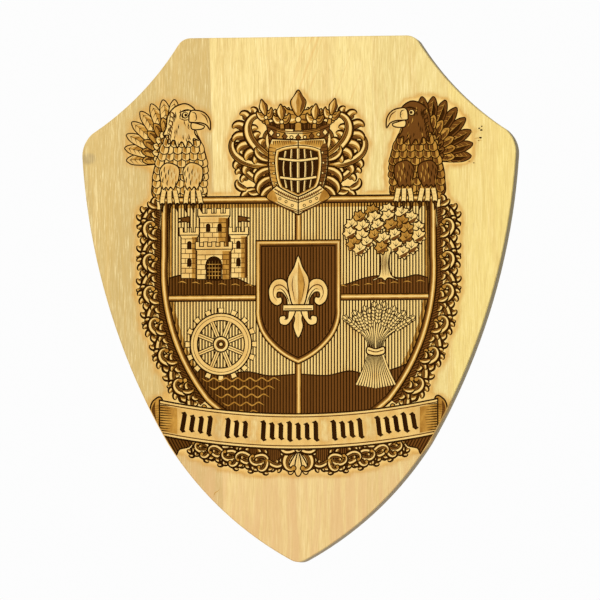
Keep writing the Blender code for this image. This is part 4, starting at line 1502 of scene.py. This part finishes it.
def burnt(n, color, mm, seams, burn):
    """The soot round the engraving, then its three burnt tones."""
    smoke = n.noise(mm, (0.16, 0.16, 0.09), 4.0, 0.5, 0.6)
    halo = n.attribute("scorch")
    soot = n.times(n.remap(halo, 0.01, 0.24), n.remap(smoke, 0.3, 0.7, 0.6, 1.0))
    color = n.mix(n.times(soot, n.remap(halo, 0.28, 0.5, 0.88, 0.22)), color, (0.50, 0.255, 0.05))
    color = n.mix(n.remap(halo, 0.15, 0.42, 0.0, 0.55), color, (0.77, 0.50, 0.15))

    streak = n.noise(mm, (2.6, 2.6, 0.12), 2.0, 0.0, 0.7)
    blotch = n.noise(mm, (0.05, 0.05, 0.03), 3.0)
    right = n.remap(n.split(mm)[0], -70.0, 10.0)
    light = n.mix(n.remap(smoke, 0.3, 0.7), (0.28, 0.12, 0.016), (0.47, 0.24, 0.042))
    brown = n.mix(streak, (0.05, 0.017, 0.002), (0.14, 0.052, 0.008))
    brown = n.mix(n.times(right, 0.4), brown, (0.17, 0.062, 0.012))
    brown = n.mix(n.times(seams, 0.6), brown, (0.03, 0.012, 0.003))
    dark = n.mix(streak, (0.010, 0.003, 0.0005), (0.032, 0.010, 0.0015))
    faded = n.times(n.times(n.remap(blotch, 0.35, 0.65), right), 0.45)
    dark = n.mix(faded, dark, (0.058, 0.020, 0.003))
    for tone, tint in ((LIGHT, light), (BROWN, brown), (DARK, dark)):
        color = n.mix(n.above(burn, tone - 0.5), color, tint)
    return color


def engraved_wood():
    """Pale wood glued from upright staves, darkened where the engraving burnt it."""
    material, shader, n = shaded("engraved_wood")
    mm = n.scaled(n.place(), (1000.0, 1000.0, 1000.0))
    x, y, z = n.split(mm)
    color, seams, shift = stave_tones(n, x, z)
    color, bands, grain, fibre = figure(n, color, x, y, z, shift)
    color = stains_and_painted_light(n, color, mm, bands, fibre, seams)
    burn = n.attribute("burn")
    socket(shader, "Base Color", burnt(n, color, mm, seams, burn))
    socket(shader, "Roughness", n.remap(grain, 0.3, 0.7, 0.55, 0.72))
    socket(shader, "Specular IOR Level", n.remap(burn, 0.0, 1.0, 0.06, 0.0, "LINEAR"))
    bump = n.add("ShaderNodeBump")
    socket(bump, "Height", n.plus(n.times(grain, 0.5), n.times(fibre, 0.5)))
    socket(bump, "Distance", 0.00012)
    socket(bump, "Strength", 0.4)
    socket(shader, "Normal", bump.outputs[0])
    return material


def pale_floor(half=1.6, level=-0.62):
    """A plain pale floor well below the board."""
    material, shader, n = shaded("floor")
    tone = n.noise(n.place(), (3.0, 3.0, 3.0), 3.0)
    socket(shader, "Base Color", n.mix(tone, (0.84, 0.84, 0.84), (0.88, 0.88, 0.88)))
    socket(shader, "Roughness", 0.8)
    mesh = bpy.data.meshes.new("floor")
    corners = [(half * x, half * y, level) for x, y in ((-1, -1), (1, -1), (1, 1), (-1, 1))]
    mesh.from_pydata(corners, [], [(0, 1, 2, 3)])
    mesh.materials.append(material)
    floor = linked(mesh)


def camera(azimuth=math.radians(8.5), elevation=math.radians(-3.0), distance=5.0):
    """A long lens, a little to the right of the board's middle and a little below it."""
    data = bpy.data.cameras.new("camera")
    data.lens, data.sensor_width = 434.0, 36.0
    data.clip_end = 100.0
    way = Vector((math.sin(azimuth) * math.cos(elevation), -math.cos(azimuth) * math.cos(elevation),
                  math.sin(elevation)))
    placed = linked(data)
    placed.location = Vector((-0.0001, -0.009, -0.0003)) + way * distance
    placed.rotation_euler = (-way).to_track_quat("-Z", "Y").to_euler()
    bpy.context.scene.camera = placed


def lights():
    """A white surround, dimmer on the right, and a large soft light in front from the upper left."""
    world = bpy.data.worlds.new("surround")
    world.use_nodes = True
    background = world.node_tree.nodes["Background"]
    n = Nodes(world.node_tree)
    socket(background, "Color", (1.0, 1.0, 1.0, 1.0))
    socket(background, "Strength", n.remap(n.split(n.place("Generated"))[0], 0.1, 0.8, 0.98, 0.3))
    scene = bpy.context.scene
    scene.world = world
    data = bpy.data.lights.new("key", "AREA")
    data.shape, data.size = "DISK", 1.2
    data.energy = 36.0
    key = linked(data)
    place = Vector((-1.1, -1.9, 1.0))
    key.location = place
    key.rotation_euler = (-place).to_track_quat("-Z", "Y").to_euler()
    scene.view_settings.view_transform = "Standard"
    scene.view_settings.look = "None"


draw_all()
board = board_object(engraved_wood())
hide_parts("shield_board")
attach(board, "root")
pale_floor()
camera()
lights()
